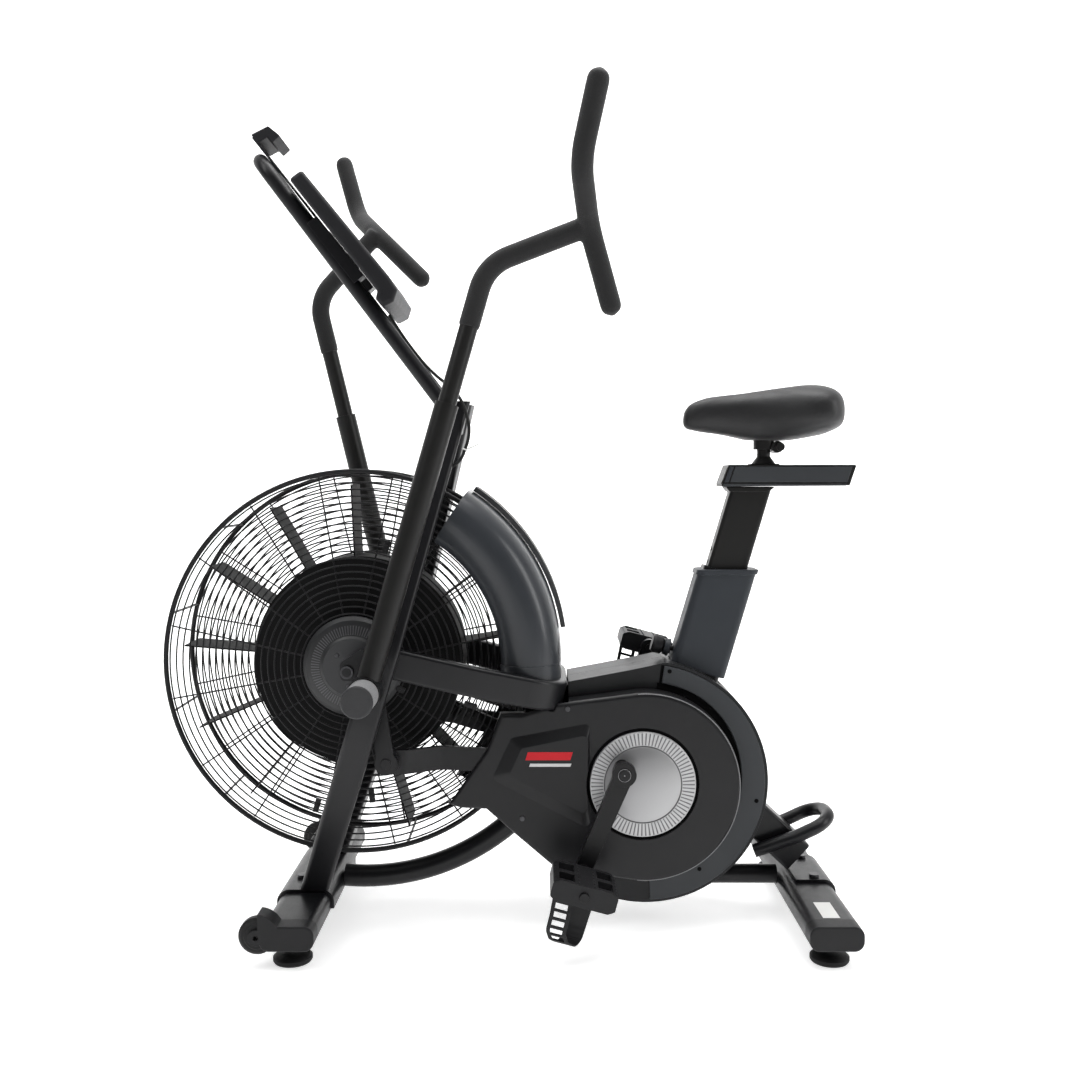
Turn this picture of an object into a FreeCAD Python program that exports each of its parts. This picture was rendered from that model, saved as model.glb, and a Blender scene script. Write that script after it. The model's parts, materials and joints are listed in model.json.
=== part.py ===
import FreeCAD, Part
import math
import os

import Sketcher
from FreeCAD import Placement, Rotation, Vector

# Air bike, in millimetres. X runs from the fan at the front (-X) to the saddle (+X), Y to the rider's
# right, Z up. The origin lies on the floor, under the middle of the bike's bounding box.

DIMENSIONS = [
    # Stand
    ("stabiliser_depth", 82), ("stabiliser_height", 38), ("stabiliser_corner", 15),
    ("stabiliser_half_length", 218), ("stabiliser_level", 51), ("front_stabiliser_x", -335),
    ("rear_stabiliser_x", 487), ("tube_wall", 2.5), ("cap_length", 32),
    ("wheel_radius", 28), ("wheel_width", 20), ("wheel_x", -380.5), ("wheel_level", 53),
    ("wheel_side", 235), ("foot_radius", 30), ("foot_side", 203), ("foot_stud_radius", 5),
    # Legs and fan
    ("leg_depth", 45), ("leg_width", 40), ("leg_corner", 7),
    ("pivot_x", -217), ("pivot_z", 419), ("fan_x", -255), ("fan_z", 438),
    ("guard_radius", 311), ("guard_rim_side", 70), ("guard_hub_side", 104), ("guard_hub_radius", 80),
    ("guard_wire", 1.3), ("rim_wire", 4), ("fan_disc_radius", 172), ("fan_disc_side", 50),
    ("blade_reach", 290), ("blade_width", 84), ("blade_thickness", 2.5), ("blade_count", 13),
    # Drive
    ("crank_x", 175.5), ("crank_z", 274), ("crank_length", 170), ("spindle_radius", 10),
    ("crank_inner_side", 140), ("crank_thickness", 16), ("crank_pulley_radius", 48),
    ("fan_pulley_radius", 15), ("belt_side", 58), ("belt_width", 12), ("throw", 28),
    ("strap_bore", 42), ("rod_side", 94.5), ("rod_thickness", 8), ("rod_height", 38),
    ("pedal_side", 211), ("pedal_width", 90), ("pedal_length", 100), ("pedal_height", 33),
    # Levers
    ("lever_side", 230), ("axle_radius", 12), ("shaft_radius", 18), ("hub_radius", 25),
    ("lower_pole_radius", 18), ("upper_pole_radius", 14), ("grip_radius", 16.5),
    ("peg_radius", 23), ("peg_end_side", 306),
    # Covers and seat
    ("cover_side", 62), ("face_side", 103), ("cover_wall", 3), ("disc_radius", 85.6),
    ("seat_post_depth", 65), ("seat_post_width", 34), ("rail_width", 60), ("rail_level", 724),
    ("rail_height", 36),
    # Mast and console
    ("mast_radius", 12), ("mast_side", 55), ("console_width", 210),
]

LEFT = -1
RIGHT = 1
SIDES = {"left": LEFT, "right": RIGHT}

doc = FreeCAD.newDocument("air_bike")
sheet = doc.addObject("Spreadsheet::Sheet", "dims")
for row, (alias, number) in enumerate(DIMENSIONS, start=1):
    sheet.set(f"A{row}", alias)
    sheet.set(f"B{row}", str(number))
    sheet.setAlias(f"B{row}", alias)
doc.recompute()

nodes = {}


class Size:
    """A length together with the sheet expression that gives it."""

    def __init__(self, value, text):
        self.value = float(value)
        self.text = text

    def __float__(self):
        return self.value

    def __neg__(self):
        return Size(-self.value, f"-({self.text})")

    def __add__(self, other):
        return Size(self.value + float(other), f"({self.text} + {expression(other)})")

    def __sub__(self, other):
        return Size(self.value - float(other), f"({self.text} - {expression(other)})")

    def __mul__(self, other):
        return Size(self.value * float(other), f"({self.text} * {expression(other)})")

    def __truediv__(self, other):
        return Size(self.value / float(other), f"({self.text} / {expression(other)})")


def expression(value):
    return value.text if isinstance(value, Size) else str(float(value))


def size(alias):
    return Size(sheet.get(alias), f"dims.{alias}")


def dim(alias):
    return float(sheet.get(alias))


def bind(item, prop, value):
    """Set a property, and tie it to the sheet when the value comes from there."""
    setattr(item, prop, float(value))
    if isinstance(value, Size):
        item.setExpression(prop, value.text)


def keep(item, name):
    item.Label = name
    nodes[name] = item
    return item


def turn(axis, degrees):
    return Rotation(Vector(*axis), degrees)


# Local X, Y and Z lie along global X, Z and -Y: a pad runs across, a turned body stands upright.
ACROSS = turn((1, 0, 0), 90)
LEVEL = Rotation()


def at(x, y, z, rotation=LEVEL):
    return Placement(Vector(float(x), float(y), float(z)), rotation)


# --- Sketched and primitive sub-parts ---

def new_sketch(body, name):
    sketch = body.newObject("Sketcher::SketchObject", name)
    plane = [item for item in body.Origin.OriginFeatures if item.Role == "XY_Plane"][0]
    sketch.AttachmentSupport = [(plane, "")]
    sketch.MapMode = "FlatFace"
    return sketch


def draw_corners(sketch, corners):
    """A closed loop of straight lines whose every corner is tied to its two values."""
    first = sketch.GeometryCount
    count = len(corners)
    points = [Vector(float(x), float(y), 0) for x, y in corners]
    for index in range(count):
        sketch.addGeometry(Part.LineSegment(points[index], points[(index + 1) % count]), False)
    for index in range(count):
        ends = (first + index, 2, first + (index + 1) % count, 1)
        sketch.addConstraint(Sketcher.Constraint("Coincident", *ends))
    for index, (x, y) in enumerate(corners):
        for kind, axis, value in (("DistanceX", -2, x), ("DistanceY", -1, y)):
            if abs(float(value)) < 1e-9:
                on_axis = Sketcher.Constraint("PointOnObject", first + index, 1, axis)
                sketch.addConstraint(on_axis)
                continue
            place = Sketcher.Constraint(kind, -1, 1, first + index, 1, float(value))
            number = sketch.addConstraint(place)
            if isinstance(value, Size):
                sketch.setExpression(f"Constraints[{number}]", value.text)


def turned(name, corners, place):
    """A body turned about its local Y axis from corners of (radius, position along the axis)."""
    body = doc.addObject("PartDesign::Body", name)
    sketch = new_sketch(body, name + "_profile")
    draw_corners(sketch, corners)
    doc.recompute()
    revolution = body.newObject("PartDesign::Revolution", name + "_turn")
    revolution.Profile = sketch
    revolution.ReferenceAxis = (sketch, ["V_Axis"])
    revolution.Angle = 360
    body.Placement = place
    return keep(body, name)


def rounded(corners, radius):
    """Lines and arcs of a closed outline; radius is one number, or one per corner."""
    count = len(corners)
    radii = list(radius) if isinstance(radius, (list, tuple)) else [radius] * count
    points = [Vector(float(x), float(y), 0) for x, y in corners]
    starts, ends, arcs = [], [], []
    for index, corner in enumerate(points):
        before = (points[index - 1] - corner).normalize()
        after = (points[(index + 1) % count] - corner).normalize()
        half = before.getAngle(after) / 2
        reach = float(radii[index]) / math.tan(half)
        entry = corner + before * reach
        leave = corner + after * reach
        starts.append(entry)
        ends.append(leave)
        arcs.append(None)
        if float(radii[index]) > 0:
            middle = (before + after).normalize()
            centre = corner + middle * (float(radii[index]) / math.sin(half))
            arcs[-1] = Part.Arc(entry, centre - middle * float(radii[index]), leave)
    pieces = []
    for index in range(count):
        if arcs[index]:
            pieces.append(arcs[index])
        following = starts[(index + 1) % count]
        if (following - ends[index]).Length > 1e-6:
            pieces.append(Part.LineSegment(ends[index], following))
    return pieces


def outline_wire(corners, radius=0):
    return Part.Wire(Part.__sortEdges__([piece.toShape() for piece in rounded(corners, radius)]))


def padded(name, loops, length, place):
    """A body padded along its local Z from loops of (corners, radius); the first is the outside."""
    body = doc.addObject("PartDesign::Body", name)
    sketch = new_sketch(body, name + "_profile")
    for corners, radius in loops:
        for piece in rounded(corners, radius):
            sketch.addGeometry(piece, False)
    doc.recompute()
    pad = body.newObject("PartDesign::Pad", name + "_pad")
    pad.Profile = sketch
    bind(pad, "Length", length)
    body.Placement = place
    return keep(body, name)


def cylinder(name, radius, height, place):
    item = doc.addObject("Part::Cylinder", name)
    bind(item, "Radius", radius)
    bind(item, "Height", height)
    item.Placement = place
    return item


def formed(name, shape):
    item = doc.addObject("Part::Feature", name)
    item.Shape = shape
    return keep(item, name)


def grouped(name, items):
    """Identical pieces that share one node as separate solids."""
    group = doc.addObject("Part::Compound", name)
    group.Links = items
    return keep(group, name)


# --- Shape helpers ---

def box_between(low, high):
    spans = [high[i] - low[i] for i in range(3)]
    return Part.makeBox(*spans, Vector(*low))


def rod_shape(start, end, radius):
    start, end = Vector(*start), Vector(*end)
    return Part.makeCylinder(radius, (end - start).Length, start, end - start)


def across(x, z, near, far, radius, side=RIGHT):
    """A round bar along Y between two distances from the centre plane."""
    return rod_shape((x, side * near, z), (x, side * far, z), radius)


def rectangle(width, height):
    return [(-width / 2, -height / 2), (width / 2, -height / 2), (width / 2, height / 2),
            (-width / 2, height / 2)]


def plate(corners, radius, near, far, side=RIGHT):
    """A flat piece: corners are (x, z), the thickness lies between two distances along Y."""
    face = Part.Face(outline_wire(corners, radius))
    face.Placement = at(0, side * near, 0, ACROSS)
    return face.extrude(Vector(0, side * (far - near), 0))


def bent_path(points, radii):
    """Straight runs joined by tangent arcs, one radius for each inner point."""
    points = [Vector(*point) for point in points]
    edges = []
    start = points[0]
    for index in range(1, len(points) - 1):
        before = (points[index - 1] - points[index]).normalize()
        after = (points[index + 1] - points[index]).normalize()
        half = before.getAngle(after) / 2
        reach = radii[index - 1] / math.tan(half)
        entry = points[index] + before * reach
        leave = points[index] + after * reach
        middle = (before + after).normalize()
        centre = points[index] + middle * (radii[index - 1] / math.sin(half))
        edges.append(Part.LineSegment(start, entry).toShape())
        edges.append(Part.Arc(entry, centre - middle * radii[index - 1], leave).toShape())
        start = leave
    edges.append(Part.LineSegment(start, points[-1]).toShape())
    return Part.Wire(edges)


def frame_at_start(path, sideways):
    """A rotation whose Z runs along the path's first edge and whose X is near the given direction."""
    edge = path.Edges[0]
    along = edge.tangentAt(edge.FirstParameter).normalize()
    x_axis = Vector(*sideways) - along * along.dot(Vector(*sideways))
    x_axis.normalize()
    y_axis = along.cross(x_axis)
    return edge.valueAt(edge.FirstParameter), Rotation(x_axis, y_axis, along, "ZXY")


def swept(path, profile, sideways):
    start, rotation = frame_at_start(path, sideways)
    section = profile.copy()
    section.Placement = Placement(start, rotation)
    return path.makePipeShell([section], True, False)


def round_tube(path, radius, wall=0.0):
    start, rotation = frame_at_start(path, (0, 1, 0.01))
    outside = swept(path, Part.Wire(Part.makeCircle(radius)), (0, 1, 0.01))
    if not wall:
        return outside
    inside = swept(path, Part.Wire(Part.makeCircle(radius - wall)), (0, 1, 0.01))
    return outside.cut(inside)


def box_tube(path, width, height, corner, wall, sideways):
    """A rectangular tube; width lies along the sideways direction."""
    outside = swept(path, outline_wire(rectangle(width, height), corner), sideways)
    core = rectangle(width - 2 * wall, height - 2 * wall)
    inside = swept(path, outline_wire(core, max(corner - wall, 1)), sideways)
    return outside.cut(inside)


def softened(shape, edges, radius):
    """Round the given edges, or leave them sharp where the kernel can't."""
    try:
        soft = shape.makeFillet(radius, edges)
    except Part.OCCError:
        return shape
    return soft if soft.isValid() and soft.Volume > 0 else shape


def mirrored(shape, side):
    """Shapes are drawn on the right; the left one is its mirror image."""
    if side == RIGHT:
        return shape
    return shape.mirror(Vector(0, 0, 0), Vector(0, 1, 0))


FAN = (dim("fan_x"), dim("fan_z"))
CRANK = (dim("crank_x"), dim("crank_z"))
PIVOT = (dim("pivot_x"), dim("pivot_z"))


def polar(centre, radius, degrees):
    angle = math.radians(degrees)
    return centre[0] + radius * math.cos(angle), centre[1] + radius * math.sin(angle)


# --- Stand: stabilisers, caps, wheels, feet and the rear handle ---

def stabiliser_outline(grow=0.0):
    return rectangle(dim("stabiliser_depth") + 2 * grow, dim("stabiliser_height") + 2 * grow)


def make_stabiliser(name, x):
    corner = dim("stabiliser_corner")
    wall = dim("tube_wall")
    loops = [(stabiliser_outline(), corner), (stabiliser_outline(-wall), corner - wall)]
    half = size("stabiliser_half_length")
    body = padded(name + "_tube", loops, half * 2, at(x, half, dim("stabiliser_level"), ACROSS))
    nodes.pop(name + "_tube")
    bottom = dim("stabiliser_level") - dim("stabiliser_height") / 2
    bores = []
    for side in SIDES.values():
        bores.append(cylinder(f"{name}_bore_{side + 1}", size("foot_stud_radius") + 0.3, 8,
                              at(x, side * dim("foot_side"), bottom - 2)))
    holes = doc.addObject("Part::Compound", name + "_holes")
    holes.Links = bores
    drilled = doc.addObject("Part::Cut", name)
    drilled.Base = body
    drilled.Tool = holes
    keep(drilled, name)


def end_cap(x, side, with_wheel):
    start = dim("stabiliser_half_length")
    stop = start + dim("cap_length")
    face = outline_wire(stabiliser_outline(), dim("stabiliser_corner"))
    cap = Part.Face(face).extrude(Vector(0, 0, stop - start))
    cap.Placement = at(x, -start, dim("stabiliser_level"), ACROSS)
    cap = cap.removeSplitter()
    outer = [edge for edge in cap.Edges if abs(edge.CenterOfMass.y + stop) < 0.01]
    cap = softened(cap, outer, 2.5)
    if with_wheel:
        wheel = (dim("wheel_x"), dim("wheel_level"))
        arch = across(*wheel, start, stop, 36, LEFT)
        arch = arch.cut(box_between((wheel[0] - 60, -stop - 1, 0), (wheel[0] + 3, -start + 1, 120)))
        arch = arch.cut(box_between((wheel[0], -stop - 1, 0), (wheel[0] + 60, -start + 1, 45)))
        ears = across(*wheel, start, stop, 12, LEFT)
        slot_near = dim("wheel_side") - dim("wheel_width") / 2 - 1.5
        slot = across(*wheel, slot_near, slot_near + dim("wheel_width") + 3, 30.5, LEFT)
        bore = across(*wheel, start - 1, stop + 1, 4.05, LEFT)
        cap = cap.fuse([arch, ears]).cut(slot).cut(bore)
    return mirrored(cap, -side)


def make_end_caps(name, x, with_wheel):
    caps = [end_cap(x, side, with_wheel) for side in SIDES.values()]
    formed(name, Part.makeCompound(caps))


def make_wheel(name, side):
    half = size("wheel_width") / 2
    radius = size("wheel_radius")
    corners = [(4.1, -half), (radius - 10, -half), (radius - 8, -half + 2), (radius - 4, -half + 2),
               (radius, -half + 5), (radius, half - 5), (radius - 4, half - 2),
               (radius - 8, half - 2), (radius - 10, half), (4.1, half)]
    turned(name, corners, at(dim("wheel_x"), side * dim("wheel_side"), dim("wheel_level")))


def make_foot(name, x, side):
    stud = size("foot_stud_radius")
    rim = size("foot_radius")
    corners = [(0, 0), (rim - 2, 0), (rim, 3), (rim, 8), (rim - 4, 11), (15, 14), (13, 16),
               (13, 31.6), (stud, 31.6), (stud, 46), (0, 46)]
    turned(name, corners, at(x, side * dim("foot_side"), 0, ACROSS))


def make_rear_handle():
    path = bent_path([(400, -46, 118), (470, -46, 142), (530, -46, 170), (530, 46, 170),
                      (470, 46, 142), (400, 46, 118)], [90, 38, 38, 90])
    formed("rear_handle", round_tube(path, 11, 2.5))


# --- Legs, pivots and the tubes round the fan ---

LEG_POINTS = [(-326, 85, 62), (-233.2, 185, 340), (-191.6, 185, 480), (-91.5, 45, 870)]
SADDLE_TOP = 75
LEG_TOP = 862


def leg_path():
    low, first, second, high = [Vector(*point) for point in LEG_POINTS]
    low = low + (low - first).normalize() * 20
    high = high + (high - second).normalize() * 20
    return bent_path([low, first, second, high], [160, 160])


def leg_shape():
    path = leg_path()
    tube = box_tube(path, dim("leg_depth"), dim("leg_width"), dim("leg_corner"), 2.5, (1, 0, 0))
    tube = tube.cut(box_between((-420, 0, -50), (-200, 260, SADDLE_TOP)))
    tube = tube.cut(box_between((-200, -60, LEG_TOP), (0, 260, 960)))
    sleeve = across(*PIVOT, 160, 208, 24)
    opening = across(*PIVOT, 150, 216, 24)
    bore = across(*PIVOT, 150, 216, dim("shaft_radius") + 0.06)
    return tube.cut(opening).fuse(sleeve).cut(bore)


def make_saddle_plate():
    low, top = -7, SADDLE_TOP - dim("stabiliser_level")
    half = dim("stabiliser_depth") / 2
    corner = dim("stabiliser_corner")
    inner_top = dim("stabiliser_height") / 2
    corners = [(-half - 5, low), (-half, low), (-half, inner_top), (half, inner_top), (half, low),
               (half + 5, low), (half + 5, top), (-half - 5, top)]
    radii = [0, 0, corner, corner, 0, 0, corner + 5, corner + 5]
    place = at(dim("front_stabiliser_x"), 108, dim("stabiliser_level"), ACROSS)
    padded("front_saddle_plate", [(corners, radii)], 216, place)


def leg_block():
    """The leg as a solid bar with its pivot sleeve, to end other pieces against."""
    face = outline_wire(rectangle(dim("leg_depth"), dim("leg_width")), dim("leg_corner"))
    return swept(leg_path(), face, (1, 0, 0)).fuse(across(*PIVOT, 160, 208, 24))


def clear_of_legs(shape):
    block = leg_block()
    return shape.cut(block).cut(mirrored(block, LEFT))


def make_leg_bridge():
    corners = [(-119, 812), (-88, 812), (-78, 856), (-108, 856)]
    bridge = clear_of_legs(plate(corners, 3, -58, 58))
    middle = [solid for solid in bridge.Solids if abs(solid.CenterOfMass.y) < 1]
    formed("leg_bridge", middle[0])


def make_axle_brackets():
    brackets = []
    for side in SIDES.values():
        corners = [(-266, 424), (-245, 424), (-183, 474), (-191, 500), (-266, 452)]
        bracket = plate(corners, 8, 158.5, 164.5)
        bracket = bracket.cut(across(*FAN, 150, 170, 7.1))
        bracket = max(clear_of_legs(bracket).Solids, key=lambda solid: solid.Volume)
        brackets.append(mirrored(bracket, side))
    formed("fan_axle_brackets", Part.makeCompound(brackets))


YOKE_TILT = 13.7


def yoke_level(x):
    return 405 - math.tan(math.radians(YOKE_TILT)) * x


def yoke_path():
    points = [(-184, 155), (-60, 146), (73, 112), (73, -112), (-60, -146), (-184, -155)]
    return bent_path([(x, y, yoke_level(x)) for x, y in points], [400, 66, 66, 400])


def yoke_bar(room):
    """The yoke as a solid bar, grown by some room on every side."""
    face = outline_wire(rectangle(48 + 2 * room, 22 + 2 * room), 6)
    return swept(yoke_path(), face, (0.237, 0, 0.971))


def make_yoke():
    tube = box_tube(yoke_path(), 48, 22, 6, 2.2, (0.237, 0, 0.971))
    formed("yoke", clear_of_legs(tube))


def make_lower_tube():
    radius = 378
    start = polar(FAN, radius, -95.2)
    middle = polar(FAN, radius, -72)
    finish = polar(FAN, radius, -50)
    ends = Vector(144, 0, 276)
    arc = Part.Arc(*[Vector(x, 0, z) for x, z in (start, middle, finish)]).toShape()
    run = Part.LineSegment(Vector(finish[0], 0, finish[1]), ends).toShape()
    path = Part.Wire([arc, run])
    tube = round_tube(path, 18.5, 2.5)
    tube = tube.cut(rod_shape((CRANK[0], -60, CRANK[1]), (CRANK[0], 60, CRANK[1]), 27.05))
    formed("lower_curved_tube", tube)


SEAT_TILT = 16.2
SEAT_AXIS = Vector(math.sin(math.radians(SEAT_TILT)), 0, math.cos(math.radians(SEAT_TILT)))
SLEEVE_TOP = Vector(356, 0, 585)


def seat_point(distance, lift=0.0):
    """A point on the seat axis, measured up from the sleeve's top."""
    return SLEEVE_TOP + SEAT_AXIS * distance + Vector(0, 0, lift)


def seat_bar(depth, width, corner, low, high):
    path = Part.Wire([Part.LineSegment(seat_point(low), seat_point(high)).toShape()])
    return swept(path, outline_wire(rectangle(depth, width), corner), (1, 0, 0))


def make_main_frame():
    shell = across(*CRANK, -34, 34, 27)
    upright = seat_bar(78, 46, 8, -318, -3)
    stay_line = [Vector(285, 0, 278), Vector(478, 0, 100)]
    stay = box_tube(Part.Wire([Part.LineSegment(*stay_line).toShape()]), 56, 58, 6, 2.5, (1, 0, 1))
    link = box_between((CRANK[0] + 15, -20, 252), (278, 20, 296))
    brace = box_between((74, -20, 360), (262, 20, 392)).cut(yoke_bar(0))
    brace = max(brace.Solids, key=lambda solid: solid.Volume)
    low_run = rod_shape((214, 0, 64), (446, 0, 64), 16)
    post = rod_shape((222, 0, 70), (250, 0, 262), 14)
    frame = shell.fuse([upright, link, low_run, post])
    frame = frame.fuse(brace).fuse(stay)
    frame = frame.cut(across(*CRANK, -40, 40, 21.05))
    x = dim("rear_stabiliser_x")
    frame = frame.cut(box_between((x - 90, -60, -20), (x + 90, 60, SADDLE_TOP)).cut(
        box_between((x - 91, -60, -20), (x - 41, 60, SADDLE_TOP))))
    formed("main_frame", frame.cut(seat_bar(72, 40, 5, -300, 0)))


def make_rear_saddle():
    half = dim("stabiliser_depth") / 2
    corner = dim("stabiliser_corner")
    inner_top = dim("stabiliser_height") / 2
    top = SADDLE_TOP - dim("stabiliser_level")
    corners = [(-20, inner_top), (half, inner_top), (half, -7), (half + 5, -7), (half + 5, top),
               (-20, top)]
    radii = [0, corner, 0, 0, corner + 5, 0]
    place = at(dim("rear_stabiliser_x"), 62, dim("stabiliser_level"), ACROSS)
    padded("rear_saddle_plate", [(corners, radii)], 124, place)


# --- Fan ---

def guard_side(radius):
    """How far the wire guard stands out from the centre plane at a radius."""
    share = (dim("guard_radius") - radius) / (dim("guard_radius") - dim("guard_hub_radius"))
    return dim("guard_rim_side") + share * (dim("guard_hub_side") - dim("guard_rim_side"))


def make_guard(name, side, rings=21, spokes=16):
    wire = dim("guard_wire")
    outer = dim("guard_radius")
    inner = dim("guard_hub_radius") + 4
    solids = []
    for index in range(rings):
        radius = inner + (outer - 7 - inner) * index / (rings - 1)
        centre = Vector(FAN[0], side * guard_side(radius), FAN[1])
        solids.append(Part.makeTorus(radius, wire, centre, Vector(0, 1, 0)))
    drop = 2 * wire + 0.1
    for index in range(spokes):
        angle = 360 * (index + 0.5) / spokes
        x_in, z_in = polar(FAN, inner - 2, angle)
        x_out, z_out = polar(FAN, outer - 4.5, angle)
        near = (x_in, side * (guard_side(inner - 2) - drop), z_in)
        far = (x_out, side * (guard_side(outer - 4.5) - drop), z_out)
        solids.append(rod_shape(near, far, wire))
    formed(name, Part.makeCompound(solids))


def make_guard_rims():
    rims = []
    for side in SIDES.values():
        centre = Vector(FAN[0], side * dim("guard_rim_side"), FAN[1])
        rims.append(Part.makeTorus(dim("guard_radius"), dim("rim_wire"), centre, Vector(0, 1, 0)))
    half = dim("guard_rim_side") - dim("rim_wire") - 0.1
    for index in range(12):
        x, z = polar(FAN, dim("guard_radius"), 30 * index + 15)
        rims.append(rod_shape((x, -half, z), (x, half, z), 2))
    formed("guard_rims", Part.makeCompound(rims))


def make_guard_hub(name, side):
    hub = size("guard_hub_radius")
    base = dim("guard_hub_side") - 4
    corners = [(7.2, side * (base + 3)), (7.2, side * (base + 21)), (46, side * (base + 21)),
               (50, side * (base + 18)), (hub - 6, side * (base + 12)), (hub, side * (base + 6)),
               (hub, side * base), (hub - 3, side * base), (hub - 4, side * (base + 3))]
    turned(name, corners, at(FAN[0], 0, FAN[1]))


def make_fan():
    disc = size("fan_disc_radius")
    face = size("fan_disc_side")
    for name, side in SIDES.items():
        outer = face if side == RIGHT else -face
        corners = [(20, outer), (disc, outer), (disc, side * 1), (disc - 2.5, side * 1),
                   (disc - 2.5, outer - side * 2.5), (20, outer - side * 2.5)]
        turned(f"{name}_fan_disc", corners, at(FAN[0], 0, FAN[1]))
    blades = []
    count = int(dim("blade_count"))
    root = dim("fan_disc_radius") + 0.2
    for index in range(count):
        angle = 92.3 + index * 360 / count
        blade = doc.addObject("Part::Box", f"blade_{index}")
        bind(blade, "Length", size("blade_reach") - root)
        bind(blade, "Width", size("blade_width"))
        bind(blade, "Height", size("blade_thickness"))
        spin = turn((0, -1, 0), angle)
        corner = spin.multVec(Vector(root, -dim("blade_width") / 2, -dim("blade_thickness") / 2))
        blade.Placement = Placement(corner + Vector(FAN[0], 0, FAN[1]), spin)
        blades.append(blade)
    grouped("fan_blades", blades)
    pulley = size("fan_pulley_radius")
    start = size("belt_side") - size("belt_width") / 2 - 0.6
    stop = start + size("belt_width") + 1.2
    corners = [(7.1, -50.2), (19.9, -50.2), (19.9, start), (pulley, start), (pulley, stop),
               (pulley + 4, stop), (pulley + 4, stop + 1), (7.1, stop + 1)]
    turned("fan_hub_pulley", corners, at(FAN[0], 0, FAN[1]))
    axle = cylinder("fan_axle_bar", 7, 340, at(FAN[0], 170, FAN[1], ACROSS))
    grouped("fan_axle", [axle])


GUARD_SHELL = [(236, 93), (250, 106), (285, 115), (312, 104), (329, 78), (334, 40)]


def make_wind_guard():
    """A shell of bulged section turned through the top rear quarter of the fan."""
    outer = [Vector(FAN[0] + radius, side, FAN[1]) for radius, side in GUARD_SHELL]
    outer += [Vector(point.x, -point.y, point.z) for point in reversed(outer)]
    curve = Part.BSplineCurve()
    curve.interpolate(outer)
    inner_curve = Part.BSplineCurve()
    inner = []
    for radius, side in GUARD_SHELL:
        step = 2 if radius > 300 else 0
        inner.append(Vector(FAN[0] + radius - step, side - 3, FAN[1]))
    inner += [Vector(point.x, -point.y, point.z) for point in reversed(inner)]
    inner_curve.interpolate(inner)
    ends = [Part.LineSegment(outer[0], inner[0]), Part.LineSegment(outer[-1], inner[-1])]
    edges = [item.toShape() for item in [curve, inner_curve] + ends]
    face = Part.Face(Part.Wire(Part.__sortEdges__(edges)))
    shell = face.revolve(Vector(FAN[0], 0, FAN[1]), Vector(0, -1, 0), 57)
    slope = Rotation(Vector(0, 1, 0), YOKE_TILT)
    below = Part.makeBox(400, 400, 200)
    top = Vector(-150, -200, yoke_level(-150) + 26)
    below.Placement = Placement(top + slope.multVec(Vector(0, 0, -200)), slope)
    formed("wind_guard", shell.cut(below))
    band = [(337, 36), (345, 36), (345, -36), (337, -36)]
    points = [Vector(FAN[0] + radius, side, FAN[1]) for radius, side in band]
    strip = Part.Face(Part.makePolygon(points + points[:1]))
    strip.rotate(Vector(FAN[0], 0, FAN[1]), Vector(0, -1, 0), 9)
    strip = strip.revolve(Vector(FAN[0], 0, FAN[1]), Vector(0, -1, 0), 47)
    formed("vent_strip", strip)


# --- Drive ---

def tangent_belt(outer):
    """A closed loop round both pulleys, drawn at a distance outside their rims."""
    big = dim("crank_pulley_radius") + outer
    small = dim("fan_pulley_radius") + outer
    start, stop = Vector(CRANK[0], 0, CRANK[1]), Vector(FAN[0], 0, FAN[1])
    span = stop - start
    direction = math.atan2(span.z, span.x)
    lean = math.acos((big - small) / span.Length)
    edges = []
    corners = {}
    for key, centre, radius in (("big", start, big), ("small", stop, small)):
        for sign in (1, -1):
            angle = direction + sign * lean
            corners[key, sign] = centre + Vector(math.cos(angle), 0, math.sin(angle)) * radius
    back = Vector(math.cos(direction), 0, math.sin(direction))
    edges.append(Part.Arc(corners["big", 1], start - back * big, corners["big", -1]))
    edges.append(Part.Arc(corners["small", 1], stop + back * small, corners["small", -1]))
    for sign in (1, -1):
        edges.append(Part.LineSegment(corners["big", sign], corners["small", sign]))
    return Part.Wire(Part.__sortEdges__([edge.toShape() for edge in edges]))


def make_belt():
    outer = Part.Face(tangent_belt(3.3))
    loop = outer.cut(Part.Face(tangent_belt(0.3)))
    low = dim("belt_side") - dim("belt_width") / 2
    loop.translate(Vector(0, low, 0))
    formed("drive_belt", loop.extrude(Vector(0, dim("belt_width"), 0)))


def make_crank_set():
    spindle = cylinder("crank_bar", size("spindle_radius"), size("crank_inner_side") * 2 + 36,
                       at(CRANK[0], dim("crank_inner_side") + 18, CRANK[1], ACROSS))
    grouped("crank_spindle", [spindle])
    pulley = size("crank_pulley_radius")
    low = dim("belt_side") - dim("belt_width") / 2 - 1.5
    high = low + dim("belt_width") + 3
    bore = size("spindle_radius") + 0.05
    corners = [(bore, low), (pulley + 5, low), (pulley + 5, low + 1), (pulley, low + 1),
               (pulley, high - 1), (pulley + 5, high - 1), (pulley + 5, high), (bore, high)]
    turned("crank_pulley", corners, at(CRANK[0], 0, CRANK[1]))
    races = []
    for side in SIDES.values():
        ring = across(*CRANK, 22, 34, 21, side).cut(
            across(*CRANK, 20, 36, dim("spindle_radius") + 0.06, side))
        races.append(ring)
    formed("crank_bearings", Part.makeCompound(races))
    for name, side in SIDES.items():
        disc = across(CRANK[0] + side * dim("throw"), CRANK[1], 74, 86, 40, side)
        disc = disc.cut(across(*CRANK, 30, 100, dim("spindle_radius") + 0.05, side))
        formed(f"{name}_eccentric", disc)
        make_crank_arm(name, side)


CRANK_LEAN = 23


def pedal_centre(side):
    angle = -90 - CRANK_LEAN if side == LEFT else 90 - CRANK_LEAN
    return polar(CRANK, dim("crank_length"), angle)


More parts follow.
